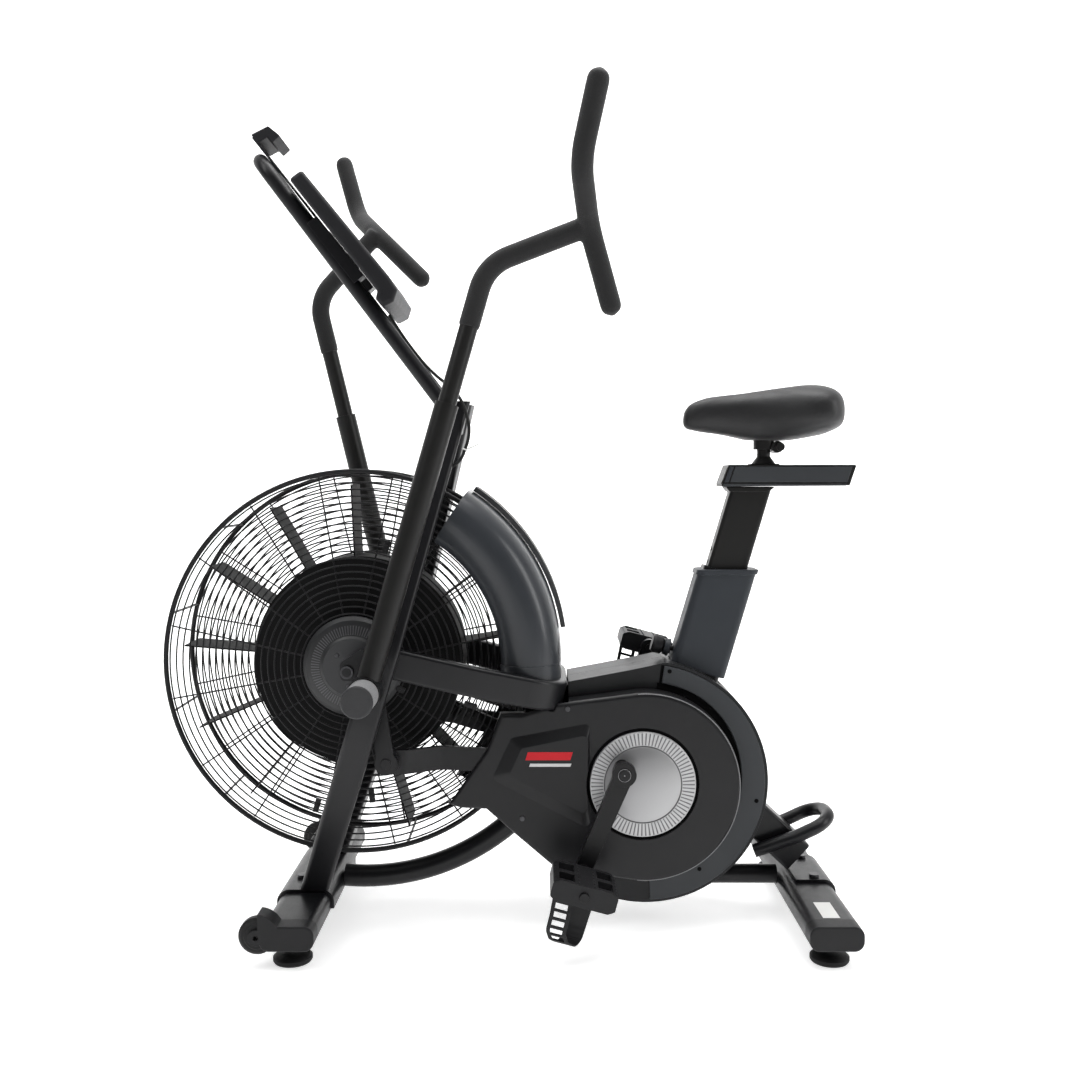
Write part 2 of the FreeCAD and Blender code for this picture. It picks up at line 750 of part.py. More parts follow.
def make_crank_arm(name, side):
    end = pedal_centre(side)
    along = Vector(end[0] - CRANK[0], 0, end[1] - CRANK[1]).normalize()
    sideways = Vector(-along.z, 0, along.x)
    start_point = Vector(CRANK[0], 0, CRANK[1])
    end_point = Vector(end[0], 0, end[1])
    corners = []
    for point, reach in ((start_point, 15), (end_point, 13)):
        corners.append(((point + sideways * reach).x, (point + sideways * reach).z))
    for point, reach in ((end_point, -13), (start_point, -15)):
        corners.append(((point + sideways * reach).x, (point + sideways * reach).z))
    inner = dim("crank_inner_side")
    outer = inner + dim("crank_thickness")
    arm = plate(corners, 0, inner + 1, outer - 1, side)
    arm = arm.fuse([across(*CRANK, inner, outer, 19, side), across(*end, inner, outer, 15, side)])
    rims = [edge for edge in arm.Edges if abs(abs(edge.CenterOfMass.y) - outer) < 0.01]
    arm = softened(arm, rims, 2)
    arm = arm.cut(across(*CRANK, inner - 1, outer + 1, dim("spindle_radius") + 0.05, side))
    arm = arm.cut(across(*end, inner - 1, outer + 1, 7.05, side))
    formed(f"{name}_crank_arm", arm)


PEDAL_TILT = 15


def make_pedal(name, side):
    x, z = pedal_centre(side)
    inner = dim("pedal_side") - dim("pedal_width") / 2
    outer = inner + dim("pedal_width")
    axle = across(x, z, dim("crank_inner_side") - 2, outer + 4, 7, side)
    formed(f"{name}_pedal_axle", axle.fuse(across(x, z, dim("crank_inner_side") +
                                                  dim("crank_thickness") + 0.3,
                                                  inner - 0.5, 9, side)))
    length, height = dim("pedal_length"), dim("pedal_height")
    wedge = [(-length / 2, -height / 2 + 6), (-length / 2 + 10, -height / 2),
             (length / 2 - 10, -height / 2), (length / 2, -height / 2 + 6),
             (length / 2, height / 2 - 6), (length / 2 - 10, height / 2),
             (-length / 2 + 10, height / 2), (-length / 2, height / 2 - 6)]
    body = Part.Face(outline_wire(wedge, 4)).extrude(Vector(0, 0, outer - inner))
    windows = []
    for centre in (-30, 30):
        for lane in (-1, 1):
            middle = (outer - inner) / 2 + lane * 21
            windows.append(Part.makeBox(24, 60, 30, Vector(centre - 12, -30, middle - 15)))
    body = body.cut(Part.makeCompound(windows))
    body.Placement = at(x, -inner, z, ACROSS)
    body.rotate(Vector(x, 0, z), Vector(0, 1, 0), PEDAL_TILT)
    body = body.cut(across(x, z, inner - 1, outer + 1, 7.06, LEFT))
    formed(f"{name}_pedal", mirrored(body, -side))
    make_toe_strap(name, side, x, z, mirrored(body, -side))


def make_toe_strap(name, side, x, z, pedal):
    """A moulded strap with its two ends at the pedal's long edges, hanging below it."""
    half = dim("pedal_length") / 2
    outline = [(-half + 4, -12), (-half - 7, -52), (-22, -86), (16, -84), (half - 14, -50),
               (half - 22, -17)]
    path = bent_path([(px, 0, pz) for px, pz in outline], [22, 24, 16, 22])
    strap = swept(path, outline_wire(rectangle(34, 3), 1), (0, 1, 0))
    strap.translate(Vector(x, side * (dim("pedal_side") + 8), z))
    strap.rotate(Vector(x, 0, z), Vector(0, 1, 0), PEDAL_TILT)
    strap = strap.cut(pedal)
    formed(f"{name}_toe_strap", max(strap.Solids, key=lambda solid: solid.Volume))


# --- Levers ---

LEFT_LEAN = 15.8
SWING = 28.7
LEVER_LEAN = {LEFT: LEFT_LEAN, RIGHT: LEFT_LEAN - SWING}
BEND = (0, 190, 661)
JUNCTION = (132, 205, 756)
BAR = [(92, 318, 926), (98, 300, 818), (132, 205, 756), (196, 186, 655)]
PIN_OFFSET = (53.8, -116.8)


def leaned(shape, side):
    shape = mirrored(shape, side)
    shape.rotate(Vector(PIVOT[0], 0, PIVOT[1]), Vector(0, 1, 0), LEVER_LEAN[side])
    return shape


def lever_point(x, y, z):
    return PIVOT[0] + x, y, PIVOT[1] + z


def pin_place(side):
    angle = math.radians(LEVER_LEAN[side])
    x, z = PIN_OFFSET
    return (PIVOT[0] + x * math.cos(angle) + z * math.sin(angle),
            PIVOT[1] - x * math.sin(angle) + z * math.cos(angle))


def lever_paths():
    bottom = (0, dim("lever_side"), dim("hub_radius") - 4)
    pole = bent_path([lever_point(*point) for point in (bottom, BEND, JUNCTION)], [70])
    bar = bent_path([lever_point(*point) for point in BAR], [60, 60])
    return pole, bar


def make_lever(name, side):
    pole, bar = lever_paths()
    radius = dim("upper_pole_radius")
    start = Vector(*lever_point(0, dim("lever_side"), dim("hub_radius") - 4))
    along = Vector(*lever_point(*BEND)) - start
    along.normalize()
    collar = Part.makeCylinder(dim("lower_pole_radius"), 426, start, along)
    bar_radius = 12.5
    outside = round_tube(pole, radius).fuse([round_tube(bar, bar_radius), collar])
    outside = outside.cut(across(*PIVOT, 200, 260, dim("hub_radius") + 0.05))
    hollow = Part.makeCylinder(dim("lower_pole_radius") - 3, 400, start + along * 12, along)
    formed(f"{name}_lever_pole", leaned(outside.cut(hollow), side))
    foam = lever_foam(pole, bar).cut(round_tube(pole, radius + 0.05))
    foam = foam.cut(round_tube(bar, bar_radius + 0.05))
    formed(f"{name}_grip_foam", leaned(foam, side))
    hub = size("hub_radius")
    shaft = size("shaft_radius")
    bore = size("axle_radius") + 0.05
    corners = [(bore, side * 148), (shaft, side * 148), (shaft, side * 208.6), (hub, side * 208.6),
               (hub, side * 250), (bore, side * 250)]
    turned(f"{name}_lever_hub", corners, at(PIVOT[0], 0, PIVOT[1]))
    make_lever_arm(name, side)


def lever_foam(pole, bar):
    grip = dim("grip_radius")
    stem = round_tube(pole, grip)
    below = box_between((PIVOT[0] - 200, 0, 0), (PIVOT[0] + 200, 400, PIVOT[1] + 560))
    stem = stem.cut(below)
    whole = stem.fuse(round_tube(bar, grip))
    for index in (0, -1):
        whole = whole.fuse(Part.makeSphere(grip, Vector(*lever_point(*BAR[index]))))
    return whole


def make_lever_arm(name, side):
    x, z = PIN_OFFSET
    length = math.hypot(x, z)
    arm = plate([(-20, -14), (length, -14), (length, 14), (-20, 14)], 0, 148, 156)
    arm = arm.fuse([across(0, 0, 148, 156, 26), across(length, 0, 148, 156, 18)])
    arm = arm.cut(box_between((-60, 100, -60), (-21, 200, 60)))
    arm = arm.cut(across(0, 0, 140, 160, dim("shaft_radius") + 0.05))
    arm.rotate(Vector(0, 0, 0), Vector(0, 1, 0), -math.degrees(math.atan2(z, x)))
    arm.translate(Vector(PIVOT[0], 0, PIVOT[1]))
    arm = leaned(arm, side)
    pin_x, pin_z = pin_place(side)
    arm = arm.cut(across(pin_x, pin_z, 140, 160, 8.05, side))
    formed(f"{name}_lever_arm", arm)
    pin = across(pin_x, pin_z, 124.5, 158, 8, side)
    formed(f"{name}_rod_pin", pin.fuse(across(pin_x, pin_z, 121, 124.6, 11, side)))


def make_push_rod(name, side):
    pin_x, pin_z = pin_place(side)
    ring_x = CRANK[0] + side * dim("throw")
    length = math.hypot(ring_x - pin_x, CRANK[1] - pin_z)
    near = dim("rod_side") - dim("rod_thickness") / 2
    far = near + dim("rod_thickness")
    bore = dim("strap_bore")
    plan = [(-10, 131), (26, 131), (80, near), (length - bore - 4, near),
            (length - bore - 4, far), (83, far), (29, 139), (-10, 139)]
    height = dim("rod_height")
    bar = Part.Face(outline_wire(plan, [0, 10, 10, 0, 0, 10, 10, 0]))
    bar = bar.extrude(Vector(0, 0, height))
    bar.translate(Vector(0, 0, -height / 2))
    eye = across(0, 0, 126, 146, 20)
    ring = across(length, 0, near, far, bore + 9)
    rod = bar.fuse([eye, ring]).cut(across(0, 0, 100, 160, 8.07))
    rod = rod.cut(across(length, 0, 60, 120, bore))
    drop = math.degrees(math.atan2(pin_z - CRANK[1], ring_x - pin_x))
    rod.rotate(Vector(0, 0, 0), Vector(0, 1, 0), drop)
    rod = mirrored(rod, side)
    rod.translate(Vector(pin_x, 0, pin_z))
    formed(f"{name}_push_rod", rod)


def make_pegs():
    axles, sleeves, ends = [], [], []
    stop = dim("peg_end_side")
    for side in SIDES.values():
        axle = across(*PIVOT, 147.6, stop, dim("axle_radius"), side)
        axles.append(axle.fuse(across(*PIVOT, 144, 147.7, 17, side)))
        sleeve = across(*PIVOT, 251, stop, dim("peg_radius"), side)
        sleeves.append(sleeve.cut(across(*PIVOT, 240, 320, dim("axle_radius") + 0.05, side)))
        cap = across(*PIVOT, stop + 0.1, stop + 7, dim("peg_radius") + 0.5, side)
        rim = [edge for edge in cap.Edges if abs(abs(edge.CenterOfMass.y) - stop - 7) < 0.01]
        ends.append(softened(cap, rim, 3))
    formed("lever_axles", Part.makeCompound(axles))
    formed("peg_sleeves", Part.makeCompound(sleeves))
    formed("peg_ends", Part.makeCompound(ends))


# --- Covers ---

NOSE = [(-105, 213), (-85, 206), (-43, 204), (7, 160)]
NOSE_TOP = [(14, 360), (-20, 360), (-43, 302)]
DISC = (209, 246)
FACE_CENTRE = (214, 240)
FACE_RADIUS = 154
BAND_CENTRE = (218, 238)
BAND_RADIUS = 201


def arc_outline(front, centre, radius, first, last, top):
    """A closed outline: straight front points, an arc round the rear, then the top points."""
    begin = polar(centre, radius, first)
    finish = polar(centre, radius, last)
    middle = polar(centre, radius, (first + last) / 2)
    arc = Part.Arc(*[Vector(x, 0, z) for x, z in (begin, middle, finish)]).toShape()
    corners = [finish] + top + front + [begin]
    lines = []
    for start, stop in zip(corners, corners[1:]):
        lines.append(Part.makeLine(Vector(start[0], 0, start[1]), Vector(stop[0], 0, stop[1])))
    return Part.Wire(Part.__sortEdges__([arc] + lines))


def face_outline():
    top = [(152, 387), (72, 377)] + NOSE_TOP
    return arc_outline(NOSE + [(70, 106)], FACE_CENTRE, FACE_RADIUS, -96, 95, top)


def band_outline():
    top = [(196, 425), (74, 402), (74, 385), (40, 368)] + NOSE_TOP
    return arc_outline(NOSE, BAND_CENTRE, BAND_RADIUS, -137, 81, top)


def prism(wire, near, far):
    face = Part.Face(wire)
    face.translate(Vector(0, near, 0))
    return face.extrude(Vector(0, far - near, 0))


def inset(wire, distance):
    smaller = wire.makeOffset2D(-distance)
    if smaller.BoundBox.DiagonalLength > wire.BoundBox.DiagonalLength:
        smaller = wire.makeOffset2D(distance)
    return Part.Wire(smaller.Edges)


def cover_rooms():
    """The spaces that the covers leave free for tubes, sleeve, spindle and yoke."""
    sleeve = seat_bar(96, 64, 9, -240, 20)
    stay = box_between((300, -31, 20), (520, 31, 250))
    behind_yoke = box_between((20, -99, 352), (90, 99, 420))
    low_front = box_between((-140, -61, 60), (74, 61, 470))
    belt = box_between((-140, 50, 280), (90, 66, 420))
    cage = across(*FAN, 55, 82.5, 317)
    spindle = across(*CRANK, -120, 120, 14)
    low_run = rod_shape((200, 0, 64), (470, 0, 64), 17)
    return [sleeve, stay, behind_yoke, yoke_bar(1.5), low_front, belt, cage, spindle, low_run]


def make_face_cover(name, side):
    near, far = dim("cover_side"), dim("face_side")
    wall = dim("cover_wall")
    outline = face_outline()
    body = prism(outline, near + 0.2, far)
    rim = [edge for edge in body.Edges if abs(edge.BoundBox.YMin - far) < 0.01]
    body = softened(body, rim, 7)
    cavity = prism(inset(outline, wall), near - 1, far - wall)
    body = body.cut(cavity)
    front = [(-150, 190), (-108, 212.5), (-45, 300), (-22, 357), (-24, 375), (-150, 375)]
    body = body.cut(plate(front, 0, near - 1, far - wall))
    body = body.cut(plate([(-112, 217), (-85, 209.5), (-30, 230), (-30, 357), (-112, 357)], 0,
                          near - 1, far - wall))
    plateau = plateau_shape(far)
    body = body.fuse(plateau)
    body = body.cut(across(*DISC, far - 2, far + 20, 91))
    for room in cover_rooms():
        body = body.cut(room)
    formed(f"{name}_face_cover", mirrored(body, side))


def plateau_shape(far):
    base = [(-36, 254), (-4, 322), (124, 346), (124, 170)]
    top = [(-6, 262), (14, 306), (120, 328), (120, 196)]
    wires = []
    for corners, height in ((base, far - 0.5), (top, far + 8)):
        wire = outline_wire(corners, 8)
        wire.Placement = at(0, height, 0, ACROSS)
        wires.append(wire)
    return Part.makeLoft(wires, True, True)


def make_band_cover(name, side):
    near, far = 0.3, dim("cover_side")
    wall = dim("cover_wall")
    outline = band_outline()
    body = prism(outline, near, far)
    rim = [edge for edge in body.Edges if abs(edge.BoundBox.YMin - far) < 0.01]
    body = softened(body, rim, 5)
    body = body.cut(prism(inset(outline, wall), near - 1, far - wall))
    body = body.cut(prism(inset(face_outline(), wall + 2), far - wall - 1, far + 1))
    for room in cover_rooms():
        body = body.cut(room)
    solids = sorted(body.Solids, key=lambda solid: -solid.Volume)
    formed(f"{name}_band_cover", mirrored(solids[0], side))


def make_disc(name, side):
    low = dim("face_side") - 2 + 0.1
    rim = dim("disc_radius")
    ring = across(*DISC, low, low + 5, rim)
    edge = [item for item in ring.Edges if abs(item.BoundBox.YMin - low - 5) < 0.01]
    ring = softened(ring, edge, 1.5)
    dome_height = 5
    radius = (60 ** 2 + dome_height ** 2) / (2 * dome_height)
    ball = Part.makeSphere(radius, Vector(DISC[0], low + 5 + dome_height - radius, DISC[1]))
    dome = ball.common(across(*DISC, low + 4, low + 12, 60))
    disc = ring.fuse(dome).cut(across(*CRANK, 90, 130, 13))
    formed(f"{name}_trim_disc", mirrored(disc, side))


def make_cover_screws():
    screws = []
    places = [((88, 368), "face_side"), ((15, 190), "face_side"), ((395, 207), "cover_side"),
              ((307, 95), "cover_side"), ((258, 420), "cover_side")]
    for side in SIDES.values():
        for index, ((x, z), level) in enumerate(places):
            head = cylinder(f"cover_screw_{side + 1}_{index}", 4, 2.2,
                            at(x, side * (dim(level) + 1.15) + 1.1, z, ACROSS))
            screws.append(head)
    grouped("cover_screws", screws)


# --- Seat ---

def make_seat():
    sleeve = seat_bar(94, 62, 12, -176, 0).fuse(seat_bar(99, 67, 13, -9, 0))
    sleeve = sleeve.cut(seat_bar(88, 56, 9, -180, 4))
    formed("seat_sleeve", sleeve)
    bush = seat_bar(71.8, 39.8, 6, -60, -2).fuse(seat_bar(84, 52, 6, -2.9, 4))
    bush = bush.cut(seat_bar(dim("seat_post_depth") + 0.12, dim("seat_post_width") + 0.12, 6,
                             -70, 10))
    formed("seat_bush", bush)
    post = seat_bar(dim("seat_post_depth"), dim("seat_post_width"), 6, -180, 170)
    post = post.cut(seat_bar(dim("seat_post_depth") - 5, dim("seat_post_width") - 5, 4, -190, 180))
    level = dim("rail_level")
    post = post.cut(box_between((200, -60, level), (600, 60, level + 90)))
    holes = []
    for index in range(9):
        centre = seat_point(-150 + 22 * index)
        holes.append(Part.makeCylinder(4.5, 60, centre, Vector(-1, 0, 0.29)))
    formed("seat_post", post.cut(Part.makeCompound(holes)))
    make_rail(level)
    make_saddle_parts(level)


def make_rail(level):
    half = dim("rail_width") / 2
    top = level + dim("rail_height")
    side_view = [(343, level), (555, level + 2), (566, top), (355, top)]
    rail = plate(side_view, 2, -half, half)
    cavity = box_between((330, -half + 3, level + 4), (580, half - 3, top - 4))
    slot = box_between((378, -13, top - 10), (546, 13, top + 5))
    rail = rail.cut(cavity).cut(slot)
    formed("seat_rail", rail)
    front = plate([(343, level + 4.2), (348, level + 4.2), (358.5, top - 4.2), (353, top - 4.2)], 0,
                  -half + 3.2, half - 3.2)
    rear = plate([(549, level + 4.2), (554, level + 4.2), (563, top - 4.2), (558, top - 4.2)], 0,
                 -half + 3.2, half - 3.2)
    formed("rail_end_caps", Part.makeCompound([front, rear]))


SADDLE_STEM_X = 418


def make_saddle_parts(level):
    top = level + dim("rail_height")
    block = box_between((SADDLE_STEM_X - 32, -26.6, level + 4.4), (SADDLE_STEM_X + 32, 26.6,
                                                                    top - 4.4))
    neck = box_between((SADDLE_STEM_X - 24, -12.6, top - 5), (SADDLE_STEM_X + 24, 12.6, top + 2))
    stem = rod_shape((SADDLE_STEM_X, 0, top), (SADDLE_STEM_X, 0, 800), 11)
    flare = Part.makeCone(20, 11, 12, Vector(SADDLE_STEM_X, 0, top + 2))
    carriage = block.fuse([neck, stem, flare])
    formed("saddle_carriage", carriage)
    collar = rod_shape((SADDLE_STEM_X, 0, 786), (SADDLE_STEM_X, 0, 806), 17)
    lug = across(SADDLE_STEM_X + 20, 790, -16, 16, 10)
    clamp = collar.fuse(lug).cut(rod_shape((SADDLE_STEM_X, 0, 780), (SADDLE_STEM_X, 0, 801), 11.05))
    formed("saddle_clamp", clamp)
    bolt = across(SADDLE_STEM_X + 24, 790, 16.1, 22, 7).fuse(
        across(SADDLE_STEM_X + 24, 790, -22, -16.1, 7))
    formed("clamp_nuts", bolt)
    whole = saddle_shape()
    under = box_between((270, -150, 0), (560, 150, 826))
    clamp_room = rod_shape((SADDLE_STEM_X, 0, 780), (SADDLE_STEM_X, 0, 806.1), 17.05)
    formed("saddle_base", whole.common(under).cut(clamp_room))
    formed("saddle", whole.cut(under))


SADDLE_SIDE = [(283, 832), (300, 822), (350, 810), (400, 801), (440, 801), (520, 826), (540, 836),
               (546, 860), (540, 878), (515, 889), (480, 890), (420, 882), (340, 868), (300, 862),
               (284, 846)]
SADDLE_HALF_PLAN = [(280, 0), (283, 16), (300, 26), (350, 34), (400, 52), (440, 84), (480, 108),
                    (510, 114), (535, 102), (546, 70), (546, 0)]


def saddle_shape():
    """The saddle and the tray under it as one block: a side view crossed with a plan."""
    profile = [Vector(x, -150, z) for x, z in SADDLE_SIDE]
    side_face = Part.Face(Part.makePolygon(profile + profile[:1]))
    side_body = side_face.extrude(Vector(0, 300, 0))
    plan = [(x, y) for x, y in SADDLE_HALF_PLAN]
    plan += [(x, -y) for x, y in reversed(SADDLE_HALF_PLAN[1:-1])]
    points = [Vector(x, y, 700) for x, y in plan]
    plan_body = Part.Face(Part.makePolygon(points + points[:1])).extrude(Vector(0, 0, 300))
    return side_body.common(plan_body)


def make_height_knob():
    start = Vector(262, 0, 452)
    direction = Vector(-SEAT_AXIS.z, 0, SEAT_AXIS.x)
    base = start + direction * 1.0
    place = Placement(base, Rotation(Vector(0, 1, 0), direction))
    turned("knob_boss", [(4.1, 0), (15, 0), (13, 9), (4.1, 9)], place)
    corners = [(0, -14), (4, -14), (4, 9.5), (10, 9.5), (15, 13), (15, 26), (12, 30), (0, 30)]
    turned("height_knob", corners, place)
    hole = Part.makeCylinder(4.3, 60, start - direction * 30, direction)
    for name in ("seat_sleeve", "main_frame"):
        nodes[name].Shape = nodes[name].Shape.cut(hole)


# --- Mast and console ---

MAST_FOOT = (-118, 864)
MAST_TOP = (-414, 1256)
CONSOLE_TOP = Vector(-330, 0, 1220)
DOWN = Vector(0.619, 0, -0.785)
OUTWARD = Vector(0.785, 0, 0.619)


def make_mast():
    side = dim("mast_side")
    path = bent_path([(MAST_FOOT[0], side, MAST_FOOT[1]), (MAST_TOP[0], side, MAST_TOP[1]),
                      (MAST_TOP[0], -side, MAST_TOP[1]), (MAST_FOOT[0], -side, MAST_FOOT[1])],
                     [48, 48])
    tube = clear_of_legs(round_tube(path, dim("mast_radius"), 2))
    formed("mast_loop", max(tube.Solids, key=lambda solid: solid.Volume))


def console_box(down, half_width, out, middle=0.0):
    """A box in the console's own directions: down its face, across, and out of the face."""
    block = Part.makeBox(down[1] - down[0], 2 * half_width, out[1] - out[0])
    rotation = Rotation(DOWN, Vector(0, 1, 0), OUTWARD, "ZXY")
    corner = CONSOLE_TOP + DOWN * down[0] + OUTWARD * out[0] + Vector(0, middle - half_width, 0)
    block.Placement = Placement(corner, rotation)
    return block


def button_place(index):
    return CONSOLE_TOP + DOWN * 166 + Vector(0, (index - 1) * 44, 0)


def make_console():
    half = dim("console_width") / 2
    profile = [(-330, 1220), (-195, 1056), (-181, 1034), (-187, 1016), (-205, 1007), (-216, 1020),
               (-213, 1032), (-337, 1189), (-350, 1206)]
    housing = plate(profile, 5, -half, half)
    rims = [edge for edge in housing.Edges if edge.BoundBox.YLength < 0.01]
    housing = softened(housing, rims, 7)
    housing = housing.cut(console_box((22, 134), 78, (-1.5, 10)))
    for index in range(3):
        housing = housing.cut(Part.makeCylinder(8.6, 20, button_place(index) - OUTWARD * 5, OUTWARD))
    formed("console_housing", housing)
    formed("console_screen", console_box((22.4, 133.6), 77.6, (-1.4, 0.4)))
    for index in range(3):
        base = button_place(index) - OUTWARD * 3
        place = Placement(base, Rotation(Vector(0, 1, 0), OUTWARD))
        turned(f"console_button_{index + 1}", [(0, 0), (8, 0), (8, 4), (7, 5), (0, 5)], place)
    bracket = console_box((60, 180), 68, (-46, -26.4))
    bracket = bracket.cut(console_box((0, 200), 42, (-60, 0)))
    side = dim("mast_side")
    for sign in SIDES.values():
        rail = rod_shape((MAST_FOOT[0], sign * side, MAST_FOOT[1]),
                         (MAST_TOP[0], sign * side, MAST_TOP[1]), dim("mast_radius") + 0.02)
        bracket = bracket.cut(rail)
    bracket = bracket.cut(nodes["console_housing"].Shape)
    slabs = [solid for solid in bracket.Solids if solid.Volume > 2000]
    formed("console_brackets", Part.makeCompound(slabs))
    panel = console_box((-110, 130), 40, (-31, -27.5))
    hook = plate([(-424, 1292), (-396, 1306), (-377, 1291), (-389, 1280), (-397, 1288),
                  (-412, 1280)], 2, -40, 40)
    formed("tablet_clamp", hook.fuse(panel))


def make_cable():
    points = [(-205, -20, 1006), (-176, -26, 962), (-136, -48, 912), (-84, -70, 872),
              (-66, -88, 812), (-84, -92, 762), (-116, -92, 748)]
    radii = []
    for before, here, after in zip(points, points[1:], points[2:]):
        back = Vector(*before) - Vector(*here)
        ahead = Vector(*after) - Vector(*here)
        bend = math.pi - back.getAngle(ahead)
        shorter = min(back.Length, ahead.Length)
        radii.append(0.45 * shorter / math.tan(bend / 2))
    cable = clear_of_legs(round_tube(bent_path(points, radii), 2.6))
    formed("sensor_cable", max(cable.Solids, key=lambda solid: solid.Volume))
    tie = Part.makeTorus(4.2, 1.1, Vector(-76.3, -90.3, 783.4), Vector(-18, -4, -50))
    tail = rod_shape((-72.4, -91, 784), (-54, -95, 792), 1.2)
    formed("cable_tie", tie.fuse(tail))


# --- Fasteners ---

def make_bolts():
    bolts = []
    for side in SIDES.values():
        for x in (-352, -318):
            bolts.append(cylinder(f"stand_bolt_{side + 1}_{x}", 8, 5,
                                  at(x, side * 50, SADDLE_TOP + 0.1)))
        bolts.append(cylinder(f"rear_bolt_{side + 1}", 8, 5, at(500, side * 48, SADDLE_TOP + 0.1)))
    grouped("stand_bolts", bolts)
    nuts = []
    for side in SIDES.values():
        nuts.append(across(*FAN, 164.6, 169.6, 10, side).cut(across(*FAN, 160, 175, 7.05, side)))
    formed("axle_nuts", Part.makeCompound(nuts))


# --- Assembly ---

GROUPS = {
    "front_legs": ["left_leg", "right_leg", "leg_bridge", "front_saddle_plate"],
    "stabiliser_caps": ["front_end_caps", "rear_end_caps"],
    "rear_frame": ["main_frame", "rear_saddle_plate"],
    "fan_mount": ["fan_axle", "fan_axle_brackets"],
    "guard_hubs": ["left_guard_hub", "right_guard_hub"],
    "fan_rotor": ["left_fan_disc", "right_fan_disc", "fan_hub_pulley"],
    "crankshaft": ["crank_spindle", "left_eccentric", "right_eccentric", "crank_pulley"],
    "left_crank": ["left_crank_arm", "left_pedal_axle"],
    "right_crank": ["right_crank_arm", "right_pedal_axle"],
    "left_bell_crank": ["left_lever_hub", "left_lever_arm", "left_rod_pin"],
    "right_bell_crank": ["right_lever_hub", "right_lever_arm", "right_rod_pin"],
    "face_covers": ["left_face_cover", "right_face_cover"],
    "band_covers": ["left_band_cover", "right_band_cover"],
    "trim_discs": ["left_trim_disc", "right_trim_disc"],
    "foot_pegs": ["lever_axles", "peg_sleeves", "peg_ends"],
    "seat_cover": ["seat_sleeve", "knob_boss", "seat_bush"],
    "saddle_rail": ["seat_rail", "rail_end_caps"],
    "saddle_stem": ["saddle_carriage", "saddle_clamp", "clamp_nuts"],
    "mast": ["mast_loop", "console_brackets"],
    "fasteners": ["cover_screws", "stand_bolts", "axle_nuts", "cable_tie"],
}


def join_groups():
    """Pieces of one rigid unit share a node as separate solids."""
    for name, members in GROUPS.items():
        grouped(name, [nodes.pop(member) for member in members])


def build():
    for name, key in (("front_stabiliser", "front_stabiliser_x"),
                      ("rear_stabiliser", "rear_stabiliser_x")):
        make_stabiliser(name, dim(key))
    make_end_caps("front_end_caps", dim("front_stabiliser_x"), True)
    make_end_caps("rear_end_caps", dim("rear_stabiliser_x"), False)
    make_saddle_plate()
    make_rear_saddle()
    make_leg_bridge()
    leg = leg_shape()
    for name, side in SIDES.items():
        formed(f"{name}_leg", mirrored(leg, side))
        make_wheel(f"{name}_wheel", side)
        make_foot(f"front_{name}_foot", dim("front_stabiliser_x"), side)
        make_foot(f"rear_{name}_foot", dim("rear_stabiliser_x"), side)
    make_rear_handle()
    make_axle_brackets()
    make_yoke()
    make_lower_tube()
    make_main_frame()
    for name, side in SIDES.items():
        make_guard(f"{name}_wire_guard", side)
        make_guard_hub(f"{name}_guard_hub", side)
    make_guard_rims()
    make_fan()
    make_wind_guard()
    make_belt()
    make_crank_set()
    for name, side in SIDES.items():
        make_pedal(name, side)
        make_lever(name, side)
        make_push_rod(name, side)
        make_face_cover(name, side)
        make_band_cover(name, side)
        make_disc(name, side)
    make_pegs()
    make_cover_screws()
    make_seat()
    make_height_knob()
    make_mast()
    make_console()
    make_cable()
    make_bolts()
    join_groups()


def export():
    doc.recompute()
    for item in doc.Objects:
        if "Invalid" in item.State or "Error" in item.State:
            raise RuntimeError(f"{item.Label} did not compute: {item.State}")
    os.makedirs("parts", exist_ok=True)
    for name, item in nodes.items():
        shape = item.Shape
        if shape.isNull() or not shape.isValid() or not shape.Solids:
            raise RuntimeError(f"{name} has no valid solid")
        shape.exportStep(os.path.join("parts", name + ".step"))
    print(len(nodes), "nodes")


build()
export()
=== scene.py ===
import json
import math

import bmesh
import bpy
from mathutils import Matrix, Vector


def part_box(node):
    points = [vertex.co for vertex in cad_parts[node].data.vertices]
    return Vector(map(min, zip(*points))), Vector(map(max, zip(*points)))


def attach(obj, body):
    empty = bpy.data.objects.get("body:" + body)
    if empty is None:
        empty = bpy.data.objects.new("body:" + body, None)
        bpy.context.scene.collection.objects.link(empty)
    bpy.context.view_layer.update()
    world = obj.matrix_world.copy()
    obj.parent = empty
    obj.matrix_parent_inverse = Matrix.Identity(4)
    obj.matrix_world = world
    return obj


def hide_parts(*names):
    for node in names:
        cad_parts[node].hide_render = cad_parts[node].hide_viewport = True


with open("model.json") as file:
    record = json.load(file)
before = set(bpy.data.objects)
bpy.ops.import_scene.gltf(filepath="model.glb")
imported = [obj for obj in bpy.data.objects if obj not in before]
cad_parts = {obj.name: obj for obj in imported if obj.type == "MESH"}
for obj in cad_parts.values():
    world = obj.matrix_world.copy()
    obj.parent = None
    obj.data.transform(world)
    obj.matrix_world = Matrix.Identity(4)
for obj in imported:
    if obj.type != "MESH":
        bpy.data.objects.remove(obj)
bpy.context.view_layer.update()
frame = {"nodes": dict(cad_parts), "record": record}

MM = 0.001
LEFT, RIGHT = -1, 1
SIDES = {"left": LEFT, "right": RIGHT}
FAN = (-0.255, 0.438)
CRANK = (0.1755, 0.274)
PIVOT = (-0.217, 0.419)
DISC = (0.209, 0.246)
LEAN = {LEFT: math.radians(15.8), RIGHT: math.radians(-12.9)}
GUARD_RIM_SIDE, GUARD_HUB_SIDE = 0.070, 0.104
GUARD_RIM_RADIUS, GUARD_HUB_RADIUS = 0.311, 0.080


# --- Materials: every one is built from nodes ---

